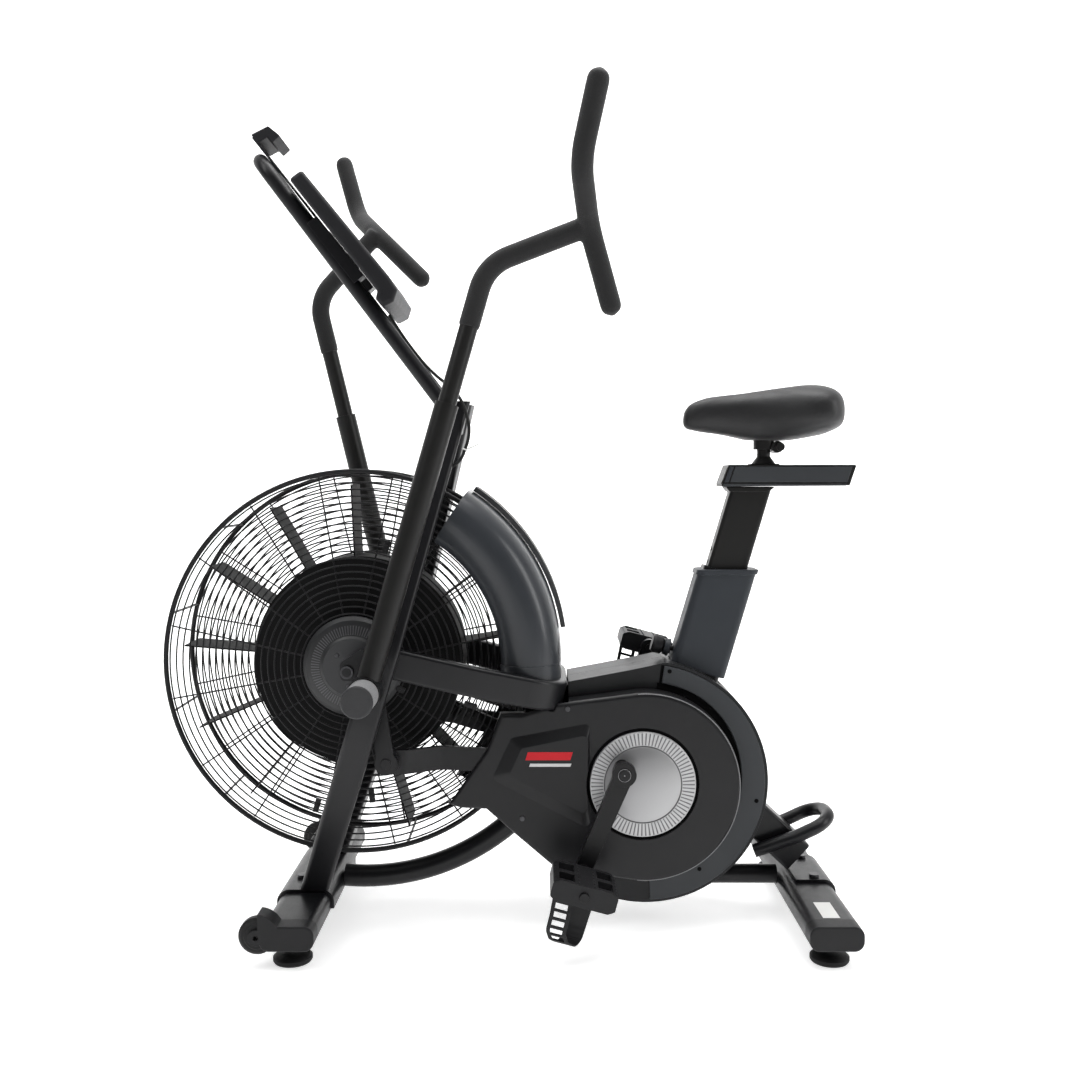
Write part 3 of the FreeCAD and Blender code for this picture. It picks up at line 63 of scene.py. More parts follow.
class Shader:
    """A material whose nodes are added one call at a time."""

    def __init__(self, name):
        self.material = bpy.data.materials.new(name)
        self.material.use_nodes = True
        self.tree = self.material.node_tree
        self.bsdf = self.tree.nodes["Principled BSDF"]
        coordinates = self.add("ShaderNodeTexCoord")
        self.place = coordinates.outputs["Object"]

    def add(self, kind, **settings):
        node = self.tree.nodes.new(kind)
        for key, value in settings.items():
            setattr(node, key, value)
        return node

    def put(self, socket, value):
        if isinstance(value, bpy.types.NodeSocket):
            self.tree.links.new(value, socket)
        else:
            socket.default_value = value

    def math(self, operation, first, second=0.0):
        node = self.add("ShaderNodeMath", operation=operation)
        for socket, value in zip(node.inputs, (first, second)):
            self.put(socket, value)
        return node.outputs[0]

    def noise(self, scale, detail=3.0):
        node = self.add("ShaderNodeTexNoise")
        self.put(node.inputs["Vector"], self.place)
        node.inputs["Scale"].default_value = scale
        node.inputs["Detail"].default_value = detail
        node.inputs["Roughness"].default_value = 0.55
        return node.outputs["Fac"]

    def cells(self, scale, feature="F1"):
        node = self.add("ShaderNodeTexVoronoi", feature=feature)
        self.put(node.inputs["Vector"], self.place)
        node.inputs["Scale"].default_value = scale
        return node.outputs["Distance"]

    def ramp(self, factor, low, high, start, stop):
        node = self.add("ShaderNodeMapRange")
        self.put(node.inputs["Value"], factor)
        node.inputs["From Min"].default_value = low
        node.inputs["From Max"].default_value = high
        node.inputs["To Min"].default_value = start
        node.inputs["To Max"].default_value = stop
        return node.outputs["Result"]

    def mix(self, factor, first, second):
        node = self.add("ShaderNodeMix", data_type="RGBA")
        self.put(node.inputs["Factor"], factor)
        self.put(node.inputs[6], first)
        self.put(node.inputs[7], second)
        return node.outputs[2]

    def axes(self):
        node = self.add("ShaderNodeSeparateXYZ")
        self.put(node.inputs[0], self.place)
        return node.outputs

    def bump(self, height, distance, strength=1.0, normal=None):
        node = self.add("ShaderNodeBump")
        node.inputs["Distance"].default_value = distance
        node.inputs["Strength"].default_value = strength
        self.put(node.inputs["Height"], height)
        if normal is not None:
            self.put(node.inputs["Normal"], normal)
        return node.outputs["Normal"]

    def bevelled(self, radius):
        node = self.add("ShaderNodeBevel", samples=4)
        node.inputs["Radius"].default_value = radius
        return node.outputs["Normal"]

    def worn(self, softened, amount):
        """A mask along sharp edges, where the softened normal turns, broken up by noise."""
        product = self.add("ShaderNodeVectorMath", operation="DOT_PRODUCT")
        self.put(product.inputs[0], softened)
        self.put(product.inputs[1], self.add("ShaderNodeNewGeometry").outputs["Normal"])
        mask = self.ramp(product.outputs["Value"], 0.99, 0.86, 0.0, amount)
        return self.math("MULTIPLY", mask, self.ramp(self.noise(90, 4), 0.42, 0.6, 0.0, 1.0))


def colour(values):
    return (*values[:3], 1.0) if len(values) == 3 else tuple(values)


def painted(name, base, rough=0.42, grain=900, depth=0.00006, bevel=0.0012, wear=0.35, coat=0.0,
            specular=0.24, mottle=0.08):
    """Powder coat, moulded plastic or rubber: grain, uneven gloss, softened and worn edges."""
    made = Shader(name)
    base = colour(base)
    lighter = colour([min(1.0, value * (1 + mottle)) for value in base[:3]])
    worn = colour([value * 2.2 + 0.035 for value in base[:3]])
    tone = made.mix(made.ramp(made.noise(14, 5), 0.3, 0.7, 0.0, 1.0), base, lighter)
    normal = made.bevelled(bevel) if bevel else None
    if bevel and wear:
        tone = made.mix(made.worn(normal, wear), tone, worn)
    made.put(made.bsdf.inputs["Base Color"], tone)
    dust = made.ramp(made.noise(60, 5), 0.3, 0.7, -0.025, 0.025)
    fine = made.ramp(made.noise(grain * 0.6, 2), 0.3, 0.7, -0.04, 0.04)
    gloss = made.math("ADD", made.math("ADD", rough, dust), fine)
    made.put(made.bsdf.inputs["Roughness"], gloss)
    made.bsdf.inputs["Coat Weight"].default_value = coat
    made.bsdf.inputs["Coat Roughness"].default_value = 0.25
    made.bsdf.inputs["Specular IOR Level"].default_value = specular
    made.put(made.bsdf.inputs["Normal"], made.bump(made.noise(grain, 3), depth, 1.0, normal))
    return made


def moulded(name, base, rough, bevel=0.0015):
    """Moulded plastic with a leather-like spark-eroded grain."""
    made = painted(name, base, rough, bevel=bevel)
    pattern = made.math("MULTIPLY", made.cells(1500), made.noise(450, 3))
    made.put(made.bsdf.inputs["Normal"], made.bump(pattern, 0.00008, 1.0, made.bevelled(bevel)))
    return made


def brushed(name, base, rough):
    """Turned or drawn metal: fine lines round the axis."""
    made = Shader(name)
    scaled = made.add("ShaderNodeMapping")
    scaled.inputs["Scale"].default_value = (3, 400, 3)
    made.put(scaled.inputs["Vector"], made.place)
    lines = made.add("ShaderNodeTexNoise")
    made.put(lines.inputs["Vector"], scaled.outputs[0])
    lines.inputs["Scale"].default_value = 6
    lines.inputs["Detail"].default_value = 4
    streak = lines.outputs["Fac"]
    dark = colour([value * 0.72 for value in base])
    made.put(made.bsdf.inputs["Base Color"], made.mix(streak, dark, colour(base)))
    made.put(made.bsdf.inputs["Roughness"], made.ramp(streak, 0.2, 0.8, rough - 0.08, rough + 0.12))
    made.bsdf.inputs["Metallic"].default_value = 1.0
    made.put(made.bsdf.inputs["Normal"], made.bump(streak, 0.00003, 1.0, made.bevelled(0.0008)))
    return made


def radius_and_angle(made, centre):
    """Distance and angle about a crosswise axis through (x, z)."""
    x, _, z = made.axes()
    across = made.math("SUBTRACT", x, centre[0])
    up = made.math("SUBTRACT", z, centre[1])
    squares = made.math("ADD", made.math("MULTIPLY", across, across), made.math("MULTIPLY", up, up))
    return made.math("SQRT", squares), made.math("ARCTAN2", up, across)


SOFT = 0.0004


def band(made, radius, low, high):
    """1 between two radii, falling off within a short distance."""
    inner = made.ramp(radius, low - SOFT, low + SOFT, 0.0, 1.0)
    outer = made.ramp(radius, high - SOFT, high + SOFT, 1.0, 0.0)
    return made.math("MULTIPLY", inner, outer)


def ticks(made, angle, count, share):
    """1 on each of a number of radial marks that take up a share of the turn."""
    wave = made.math("COSINE", made.math("MULTIPLY", angle, float(count)))
    edge = math.cos(math.pi * share)
    return made.ramp(wave, edge - 0.12, edge + 0.12, 0.0, 1.0)


def trim_disc_material():
    """Silver disc: radial ticks round the outside, a plain dome with turned rings inside, and a
    painted reflection that lightens it towards the lower right.
    """
    made = Shader("trim_silver")
    radius, angle = radius_and_angle(made, DISC)
    marks = made.math("MULTIPLY", ticks(made, angle, 79, 0.34), band(made, radius, 0.0640, 0.0835))
    rings = made.math("SINE", made.math("MULTIPLY", radius, 9000.0))
    x, _, z = made.axes()
    # Painted reflection: the disc is darker towards the upper left and lighter towards the lower
    # right.
    slope = made.math("SUBTRACT", x, made.math("MULTIPLY", z, 0.6))
    middle = DISC[0] - 0.6 * DISC[1]
    painted_reflection = made.ramp(slope, middle - 0.06, middle + 0.06, 0.0, 1.0)
    base = made.mix(painted_reflection, (0.25, 0.25, 0.255, 1), (0.40, 0.40, 0.405, 1))
    outside = made.ramp(radius, 0.0615, 0.0625, 0.0, 1.0)
    base = made.mix(outside, base, (0.46, 0.46, 0.465, 1))
    base = made.mix(marks, base, (0.16, 0.16, 0.165, 1))
    # The thin groove round the dome is painted dark as its shade.
    groove = band(made, radius, 0.0612, 0.0632)
    base = made.mix(groove, base, (0.09, 0.09, 0.09, 1))
    made.put(made.bsdf.inputs["Base Color"], base)
    made.bsdf.inputs["Metallic"].default_value = 0.75
    made.put(made.bsdf.inputs["Roughness"], made.ramp(rings, -1.0, 1.0, 0.34, 0.46))
    cut = made.math("ADD", marks, groove)
    height = made.math("ADD", made.math("MULTIPLY", cut, -1.0), made.math("MULTIPLY", rings, 0.012))
    made.put(made.bsdf.inputs["Normal"], made.bump(height, 0.0005, 1.0, made.bevelled(0.001)))
    return made


def hub_material():
    """Charcoal fan hub cap: a ring of fine ticks and a raised inner disc."""
    made = Shader("hub_plastic")
    radius, angle = radius_and_angle(made, FAN)
    marks = made.math("MULTIPLY", ticks(made, angle, 90, 0.4), band(made, radius, 0.052, 0.066))
    inner = band(made, radius, -0.01, 0.046)
    base = made.mix(made.ramp(made.noise(20, 4), 0.3, 0.7, 0.0, 1.0), (0.012, 0.0125, 0.0135, 1),
                    (0.017, 0.0175, 0.019, 1))
    base = made.mix(inner, base, (0.026, 0.0265, 0.029, 1))
    base = made.mix(marks, base, (0.075, 0.075, 0.08, 1))
    made.put(made.bsdf.inputs["Base Color"], base)
    made.put(made.bsdf.inputs["Roughness"], made.ramp(made.noise(300, 3), 0.3, 0.7, 0.36, 0.5))
    height = made.math("SUBTRACT", inner, marks)
    made.put(made.bsdf.inputs["Normal"], made.bump(height, 0.0004, 1.0, made.bevelled(0.001)))
    return made


def peg_material():
    """Grey grained sleeve; the end disc is dark and the axle behind it is bare steel."""
    made = Shader("peg_plastic")
    side = made.math("ABSOLUTE", made.axes()[1])
    end = made.ramp(side, 0.3058, 0.3062, 0.0, 1.0)
    bare = made.ramp(side, 0.2505, 0.2508, 1.0, 0.0)
    speck = made.ramp(made.noise(1400, 2), 0.42, 0.6, 0.0, 1.0)
    sleeve = made.mix(speck, (0.22, 0.22, 0.225, 1), (0.36, 0.36, 0.365, 1))
    base = made.mix(end, sleeve, (0.018, 0.018, 0.020, 1))
    base = made.mix(bare, base, (0.42, 0.42, 0.43, 1))
    made.put(made.bsdf.inputs["Base Color"], base)
    made.put(made.bsdf.inputs["Metallic"], bare)
    made.put(made.bsdf.inputs["Roughness"], made.ramp(made.noise(200, 3), 0.3, 0.7, 0.38, 0.55))
    made.put(made.bsdf.inputs["Normal"], made.bump(speck, 0.00012, 1.0, made.bevelled(0.0015)))
    return made


def vent_material():
    """Raised strip over the wind guard, moulded with a fine square mesh."""
    made = Shader("vent_plastic")
    radius, angle = radius_and_angle(made, FAN)
    side = made.axes()[1]
    along = made.math("ABSOLUTE", made.math("SINE", made.math("MULTIPLY", angle, 160.0)))
    across = made.math("ABSOLUTE", made.math("SINE", made.math("MULTIPLY", side, 470.0)))
    hole = made.ramp(made.math("MULTIPLY", along, across), 0.30, 0.42, 0.0, 1.0)
    top = made.ramp(radius, 0.3435, 0.3442, 0.0, 1.0)
    hole = made.math("MULTIPLY", hole, top)
    tone = made.ramp(made.noise(40, 4), 0.3, 0.7, 0.0, 1.0)
    base = made.mix(tone, (0.030, 0.031, 0.034, 1), (0.045, 0.046, 0.05, 1))
    # The mesh holes are painted near black as the shade inside them.
    made.put(made.bsdf.inputs["Base Color"], made.mix(hole, base, (0.004, 0.004, 0.004, 1)))
    made.put(made.bsdf.inputs["Roughness"], made.ramp(tone, 0.0, 1.0, 0.42, 0.58))
    depth = made.math("MULTIPLY", hole, -1.0)
    made.put(made.bsdf.inputs["Normal"], made.bump(depth, 0.0012, 1.0, made.bevelled(0.001)))
    return made


def screen_material():
    """Polished window over a grey-green display, with plain blank fields."""
    made = Shader("screen_plastic")
    x, y, z = made.axes()
    down = made.math("SUBTRACT", made.math("MULTIPLY", x, 0.619), made.math("MULTIPLY", z, 0.785))
    rows = made.ramp(made.math("SINE", made.math("MULTIPLY", down, 170.0)), 0.86, 0.93, 0.0, 1.0)
    columns = made.ramp(made.math("COSINE", made.math("MULTIPLY", y, 120.0)), 0.93, 0.97, 0.0, 1.0)
    lines = made.math("MAXIMUM", rows, columns)
    inside = made.ramp(made.math("ABSOLUTE", y), 0.0655, 0.0665, 1.0, 0.0)
    panel = made.mix(made.noise(25, 3), (0.085, 0.105, 0.09, 1), (0.115, 0.135, 0.115, 1))
    panel = made.mix(lines, panel, (0.03, 0.035, 0.03, 1))
    made.put(made.bsdf.inputs["Base Color"], made.mix(inside, (0.008, 0.008, 0.009, 1), panel))
    made.put(made.bsdf.inputs["Roughness"], made.ramp(made.noise(60, 4), 0.3, 0.7, 0.1, 0.2))
    made.bsdf.inputs["Coat Weight"].default_value = 0.6
    return made


def fastener_material():
    """Blackened screw heads with a socket; the cable tie in the same node is white nylon."""
    made = Shader("screw_steel")
    x, _, z = made.axes()
    high = made.ramp(z, 0.769, 0.770, 0.0, 1.0)
    low = made.ramp(z, 0.810, 0.811, 1.0, 0.0)
    tie = made.math("MULTIPLY", high, low)
    base = made.mix(made.noise(160, 4), (0.045, 0.045, 0.048, 1), (0.09, 0.09, 0.095, 1))
    made.put(made.bsdf.inputs["Base Color"], made.mix(tie, base, (0.72, 0.72, 0.70, 1)))
    made.put(made.bsdf.inputs["Metallic"], made.math("SUBTRACT", 0.9, tie))
    made.put(made.bsdf.inputs["Roughness"], made.ramp(made.noise(400, 3), 0.3, 0.7, 0.3, 0.45))
    made.put(made.bsdf.inputs["Normal"], made.bump(made.noise(700, 2), 0.00005, 1.0,
                                                   made.bevelled(0.0006)))
    return made


def vinyl_material():
    """Grained saddle vinyl: pebbled cells, faint creases and a soft sheen."""
    made = painted("saddle_vinyl", (0.011, 0.011, 0.012), 0.5, bevel=0.0, wear=0.15, specular=0.42)
    pebbles = made.math("SUBTRACT", 1.0, made.cells(620, "SMOOTH_F1"))
    creases = made.ramp(made.cells(55, "DISTANCE_TO_EDGE"), 0.0, 0.05, 0.0, 1.0)
    height = made.math("ADD", pebbles, made.math("MULTIPLY", creases, 0.25))
    made.put(made.bsdf.inputs["Normal"], made.bump(height, 0.00022, 0.9))
    made.bsdf.inputs["Sheen Weight"].default_value = 0.12
    made.bsdf.inputs["Sheen Roughness"].default_value = 0.4
    return made


def foam_material():
    """Closed-cell grip foam: fine pores, no shine."""
    made = painted("foam_rubber", (0.012, 0.012, 0.0125), 0.78, bevel=0.0, wear=0.1, specular=0.3)
    pores = made.ramp(made.cells(1300), 0.05, 0.3, 0.0, 1.0)
    height = made.math("ADD", pores, made.noise(420, 4))
    made.put(made.bsdf.inputs["Normal"], made.bump(height, 0.00022, 0.9))
    made.bsdf.inputs["Sheen Weight"].default_value = 0.15
    return made


def strap_material():
    made = painted("strap_rubber", (0.013, 0.013, 0.014), 0.55, bevel=0.0, wear=0.2)
    ribs = made.math("SINE", made.math("MULTIPLY", made.axes()[1], 3400.0))
    made.put(made.bsdf.inputs["Normal"], made.bump(ribs, 0.00012, 0.8))
    return made


def belt_material():
    made = painted("belt_rubber", (0.012, 0.012, 0.012), 0.6, bevel=0.0, wear=0.1)
    ribs = made.math("SINE", made.math("MULTIPLY", made.axes()[1], 2700.0))
    made.put(made.bsdf.inputs["Normal"], made.bump(ribs, 0.0004, 1.0))
    return made


SHADERS = {
    "frame_paint": painted("frame_paint", (0.0068, 0.0068, 0.0080), 0.36, depth=0.00008,
                           specular=0.3),
    "post_paint": painted("post_paint", (0.0120, 0.0118, 0.0115), 0.38, depth=0.00007),
    "wire_paint": painted("wire_paint", (0.010, 0.010, 0.011), 0.42, bevel=0.0, wear=0.1),
    "fan_paint": painted("fan_paint", (0.0032, 0.0032, 0.0036), 0.65, bevel=0.0006, wear=0.1,
                         specular=0.2),
    "arm_paint": painted("arm_paint", (0.0045, 0.0045, 0.005), 0.36, coat=0.05),
    "rod_paint": painted("rod_paint", (0.011, 0.011, 0.012), 0.36),
    "shaft_steel": brushed("shaft_steel", (0.42, 0.42, 0.43), 0.3),
    "bearing_steel": brushed("bearing_steel", (0.5, 0.5, 0.52), 0.22),
    "screw_steel": fastener_material(),
    "cap_plastic": moulded("cap_plastic", (0.012, 0.012, 0.013), 0.48),
    "hub_plastic": hub_material(),
    "shell_plastic": painted("shell_plastic", (0.030, 0.033, 0.038), 0.34, grain=1300,
                             depth=0.00004, coat=0.35, bevel=0.002),
    "vent_plastic": vent_material(),
    "face_plastic": painted("face_plastic", (0.0120, 0.0120, 0.0130), 0.34, grain=1400,
                            depth=0.00004, bevel=0.002),
    "band_plastic": painted("band_plastic", (0.012, 0.0125, 0.0135), 0.42, grain=1300,
                            depth=0.00005, bevel=0.002),
    "trim_silver": trim_disc_material(),
    "trim_plastic": painted("trim_plastic", (0.040, 0.043, 0.047), 0.40, grain=1300, depth=0.00005,
                            bevel=0.0015),
    # Near-black painted shade for the cover's gaps and the ring round the disc; the band screws'
    # dark heads use it too.
    "painted_shade_and_screw_black": painted("painted_shade_and_screw_black", (0.0022, 0.0022, 0.0024), 0.85, bevel=0.0, wear=0.0,
                         specular=0.08),
    # Light grey for the thin ring painted as a highlight along the face circle's edge.
    "painted_highlight_plastic": painted("painted_highlight_plastic", (0.20, 0.20, 0.205), 0.34, grain=1300, depth=0.00003,
                           bevel=0.0),
    "peg_plastic": peg_material(),
    "sleeve_plastic": moulded("sleeve_plastic", (0.030, 0.034, 0.040), 0.46, bevel=0.002),
    "housing_plastic": moulded("housing_plastic", (0.014, 0.014, 0.016), 0.48),
    "screen_plastic": screen_material(),
    "button_rubber": painted("button_rubber", (0.10, 0.10, 0.10), 0.6),
    "foam_rubber": foam_material(),
    "strap_rubber": strap_material(),
    "belt_rubber": belt_material(),
    "cable_rubber": painted("cable_rubber", (0.012, 0.012, 0.012), 0.5, bevel=0.0),
    "foot_rubber": painted("foot_rubber", (0.012, 0.012, 0.0125), 0.62),
    "wheel_rubber": painted("wheel_rubber", (0.013, 0.013, 0.0135), 0.55),
    "pedal_plastic": moulded("pedal_plastic", (0.012, 0.012, 0.013), 0.46),
    "saddle_vinyl": vinyl_material(),
    "tray_plastic": moulded("tray_plastic", (0.011, 0.011, 0.012), 0.5),
}
MATERIALS = {name: made.material for name, made in SHADERS.items()}
for part in frame["record"]["subparts"]:
    mesh = frame["nodes"][part["node"]].data
    mesh.materials.clear()
    mesh.materials.append(MATERIALS[part["material_slot"]])


# --- Mesh helpers ---


def linked(name, data):
    """An object added to the scene."""
    made = bpy.data.objects.new(name, data)
    bpy.context.collection.objects.link(made)
    return made


def new_piece(name, bm, slot, body, smooth=True):
    mesh = bpy.data.meshes.new(name)
    bm.to_mesh(mesh)
    bm.free()
    for face in mesh.polygons:
        face.use_smooth = smooth
    piece = linked(name, mesh)
    if slot:
        mesh.materials.append(MATERIALS[slot])
    if body:
        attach(piece, body)
    return piece


def apply_modifiers(piece):
    """Replace the piece's mesh with its evaluated one, and keep its materials."""
    graph = bpy.context.evaluated_depsgraph_get()
    mesh = bpy.data.meshes.new_from_object(piece.evaluated_get(graph))
    piece.modifiers.clear()
    piece.data = mesh
    for face in mesh.polygons:
        face.use_smooth = True


def modifier(piece, kind, **settings):
    made = piece.modifiers.new(kind.title(), kind)
    for key, value in settings.items():
        setattr(made, key, value)
    return made


def rounded_path(points, radii, step):
    """Points along straight runs joined by arcs, no more than about two steps apart."""
    points = [Vector(point) for point in points]
    path = [points[0]]
    for before, here, after, radius in zip(points, points[1:], points[2:], radii):
        back = (before - here).normalized()
        ahead = (after - here).normalized()
        half = back.angle(ahead) / 2
        reach = radius / math.tan(half)
        centre = here + (back + ahead).normalized() * (radius / math.sin(half))
        start, stop = here + back * reach - centre, here + ahead * reach - centre
        turn = start.angle(stop)
        axis = start.cross(stop)
        count = max(3, int(radius * turn / step))
        for index in range(count + 1):
            path.append(centre + Matrix.Rotation(turn * index / count, 3, axis) @ start)
    path.append(points[-1])
    dense = [path[0]]
    for point in path[1:]:
        gap = (point - dense[-1]).length
        count = max(1, int(gap / (2 * step)))
        origin = dense[-1].copy()
        for index in range(1, count + 1):
            dense.append(origin.lerp(point, index / count))
    return dense


def skin(bm, rings):
    """Faces between neighbouring closed rings of equal length."""
    for first, second in zip(rings, rings[1:]):
        for corner in range(len(first)):
            after = (corner + 1) % len(first)
            bm.faces.new((first[corner], first[after], second[after], second[corner]))


def close_ends(bm, rings):
    bm.faces.new(list(reversed(rings[0])))
    bm.faces.new(rings[-1])


def tube_into(bm, path, radius, sides):
    """A round tube along dense points; radius is a number or a function of the share run."""
    total = sum((b - a).length for a, b in zip(path, path[1:]))
    side = (path[1] - path[0]).orthogonal().normalized()
    rings, run = [], 0.0
    for index, point in enumerate(path):
        ahead = path[min(index + 1, len(path) - 1)] - path[max(index - 1, 0)]
        ahead.normalize()
        side = (side - ahead * side.dot(ahead)).normalized()
        up = ahead.cross(side)
        if index:
            run += (point - path[index - 1]).length
        reach = radius(run / total) if callable(radius) else radius
        ring = []
        for corner in range(sides):
            angle = 2 * math.pi * corner / sides
            outward = side * math.cos(angle) + up * math.sin(angle)
            ring.append(bm.verts.new(point + outward * reach))
        rings.append(ring)
    skin(bm, rings)
    close_ends(bm, rings)


def loft(bm, rings):
    """Join closed rings of equal length, and close both ends."""
    made = [[bm.verts.new(point) for point in ring] for ring in rings]
    skin(bm, made)
    close_ends(bm, made)


def slab_piece(name, corners, side_span, side, slot, body, bevel=0.0008):
    """A flat piece from (x, z) corners between two distances along Y, with softened edges."""
    bm = bmesh.new()
    near = [bm.verts.new((x, side * side_span[0], z)) for x, z in corners]
    far = [bm.verts.new((x, side * side_span[1], z)) for x, z in corners]
    bm.faces.new(near)
    bm.faces.new(list(reversed(far)))
    for index in range(len(corners)):
        after = (index + 1) % len(corners)
        bm.faces.new((near[index], far[index], far[after], near[after]))
    bmesh.ops.recalc_face_normals(bm, faces=bm.faces)
    bmesh.ops.bevel(bm, geom=bm.edges[:], offset=bevel, segments=2, affect="EDGES")
    new_piece(name, bm, slot, body, smooth=False)


CROSSWISE = Matrix.Rotation(math.pi / 2, 4, "X")


def round_part(bm, place, radii, depth, segments, turn=CROSSWISE):
    """A short cylinder or cone, its axis along Y unless it is turned otherwise."""
    bmesh.ops.create_cone(bm, cap_ends=True, segments=segments, radius1=radii[0],
                          radius2=radii[1], depth=depth, matrix=Matrix.Translation(place) @ turn)


# --- Saddle ---

SADDLE_STATIONS = [
    # x, half width, lowest, widest, highest, in millimetres
    (280, 7, 822, 832, 842), (285, 13, 819, 835, 854), (292, 18, 818, 838, 861),
    (303, 23, 817.5, 841, 866), (320, 27, 816.5, 843, 869.5), (345, 32, 813.5, 845, 873),
    (370, 38, 808, 846, 876), (392, 47, 802.5, 846, 879), (412, 59, 801.5, 846, 881.5),
    (434, 76, 801.5, 846, 884), (456, 93, 803, 845, 886.5), (476, 104, 806, 843, 889),
    (496, 109, 810, 841, 890), (512, 106, 813, 840, 889), (523, 97, 815.5, 840, 886),
    (532, 82, 817, 841, 881), (539, 60, 820, 843, 874), (544, 34, 828, 848, 865),
]


def saddle_ring(station, count=40):
    """Crowned above its widest line, and drawn in like a keel below it."""
    x, half, low, wide, high = [value * MM for value in station]
    ring = []
    for corner in range(count):
        angle = 2 * math.pi * corner / count
        cosine, sine = math.cos(angle), math.sin(angle)
        dip = 0.0
        if sine > 0:
            y = half * math.copysign(abs(cosine) ** 0.72, cosine)
            z = wide + (high - wide) * sine ** 0.66
            share = max(0.0, 1 - (y / 0.026) ** 2)
            dip = 0.0022 * share * min(1.0, max(0.0, (x - 0.33) / 0.05))
        else:
            y = half * math.copysign(abs(cosine) ** 0.85, cosine)
            z = wide - (wide - low) * (-sine) ** 0.72
        ring.append(Vector((x, y, z - dip)))
    return ring


def swell(piece, pressure, most, frames=20):
    """Puff the mesh with a short cloth run, and cap how far any point may move."""
    start = [vertex.co.copy() for vertex in piece.data.vertices]
    cloth = piece.modifiers.new("Cloth", "CLOTH")
    cloth.settings.use_pressure = True
    cloth.settings.uniform_pressure_force = pressure
    cloth.settings.effector_weights.gravity = 0
    cloth.settings.quality = 5
    cloth.point_cache.frame_start, cloth.point_cache.frame_end = 1, frames
    scene = bpy.context.scene
    for number in range(1, frames + 1):
        scene.frame_set(number)
    graph = bpy.context.evaluated_depsgraph_get()
    moved = [vertex.co.copy() for vertex in piece.evaluated_get(graph).data.vertices]
    piece.modifiers.remove(cloth)
    scene.frame_set(1)
    for vertex, before, after in zip(piece.data.vertices, start, moved):
        shift = after - before
        if shift.length > most:
            shift *= most / shift.length
        vertex.co = before + shift


def keep_inside(piece, low, high):
    for vertex in piece.data.vertices:
        for axis in range(3):
            vertex.co[axis] = min(max(vertex.co[axis], low[axis]), high[axis])


SWELL = 0.003


def make_saddle():
    """The whole pad, swollen like stuffed vinyl; its underside stays at the CAD's lowest point."""
    bm = bmesh.new()
    loft(bm, [saddle_ring(station) for station in SADDLE_STATIONS])
    bmesh.ops.recalc_face_normals(bm, faces=bm.faces)
    saddle = new_piece("saddle_pad", bm, "saddle_vinyl", None)
    modifier(saddle, "SUBSURF", levels=1, render_levels=1)
    modifier(saddle, "REMESH", mode="VOXEL", voxel_size=0.0045, use_smooth_shade=True)
    modifier(saddle, "SMOOTH", factor=0.5, iterations=8)
    apply_modifiers(saddle)
    swell(saddle, 4.0, SWELL)
    top_low, top_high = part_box("saddle")
    base_low, base_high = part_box("saddle_base")
    low = [min(pair) - SWELL for pair in zip(top_low, base_low)]
    low[2] += SWELL
    high = [max(pair) for pair in zip(top_high, base_high)]
    keep_inside(saddle, low, high)
    modifier(saddle, "SMOOTH", factor=0.5, iterations=4)
    modifier(saddle, "SUBSURF", levels=1, render_levels=1)
    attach(saddle, "saddle")
    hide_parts("saddle", "saddle_base")


# --- Grips ---

FOOT = (0, 230, 21)
BEND = (0, 190, 661)
JUNCTION = (132, 205, 756)
BAR = [(92, 318, 926), (98, 300, 818), (132, 205, 756), (196, 186, 655)]
GRIP_RADIUS = 0.0162
FOAM_START = 560 * MM


def lever_world(point, side):
    x, y, z = [value * MM for value in point]
    lean = LEAN[side]
    return Vector((PIVOT[0] + x * math.cos(lean) + z * math.sin(lean), side * y,
                   PIVOT[1] - x * math.sin(lean) + z * math.cos(lean)))


def unlean(point, side):
    """Height of a point along its lever, measured from the pivot."""
    lean = LEAN[side]
    return (point.x - PIVOT[0]) * math.sin(lean) + (point.z - PIVOT[1]) * math.cos(lean)


def domed_ends(path, radius):
    """Radius along a run whose ends close like a dome."""
    total = sum((b - a).length for a, b in zip(path, path[1:]))

    def reach(share):
        run = share * total
        gap = min(run, total - run)
        if gap >= radius:
            return radius
        return radius * math.sqrt(max(0.02, 1 - (1 - gap / radius) ** 2))
    return reach


def make_grip(name, side):
    """Foam over the lever's upper end and its crossbar, with a cuff at the lower edge."""
    pole = rounded_path([lever_world(p, side) for p in (FOOT, BEND, JUNCTION)], [0.07], 0.003)
    start = next(i for i, point in enumerate(pole) if unlean(point, side) > FOAM_START)
    pole = pole[start:]
    bar = [lever_world(p, side) for p in BAR]
    ends = ((bar[0] - bar[1]).normalized() * 0.0155, (bar[-1] - bar[-2]).normalized() * 0.0155)
    bar = rounded_path([bar[0] + ends[0]] + bar[1:-1] + [bar[-1] + ends[1]], [0.07, 0.07], 0.003)
    bm = bmesh.new()
    tube_into(bm, pole, GRIP_RADIUS, 32)
    tube_into(bm, bar, domed_ends(bar, GRIP_RADIUS), 32)
    piece = new_piece(f"{name}_grip", bm, "foam_rubber", None)
    modifier(piece, "REMESH", mode="VOXEL", voxel_size=0.0022, use_smooth_shade=True)
    modifier(piece, "SMOOTH", factor=0.5, iterations=14)
    apply_modifiers(piece)
    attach(piece, f"{name}_lever")
    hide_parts(f"{name}_grip_foam")
    cuff = bmesh.new()
    ahead = (pole[3] - pole[0]).normalized()
    collar = [pole[0] - ahead * 0.004 + ahead * 0.0015 * index for index in range(8)]
    tube_into(cuff, collar, domed_ends(collar, GRIP_RADIUS + 0.0003), 32)
    new_piece(f"{name}_grip_cuff", cuff, "cap_plastic", f"{name}_lever")


# --- Toe straps ---

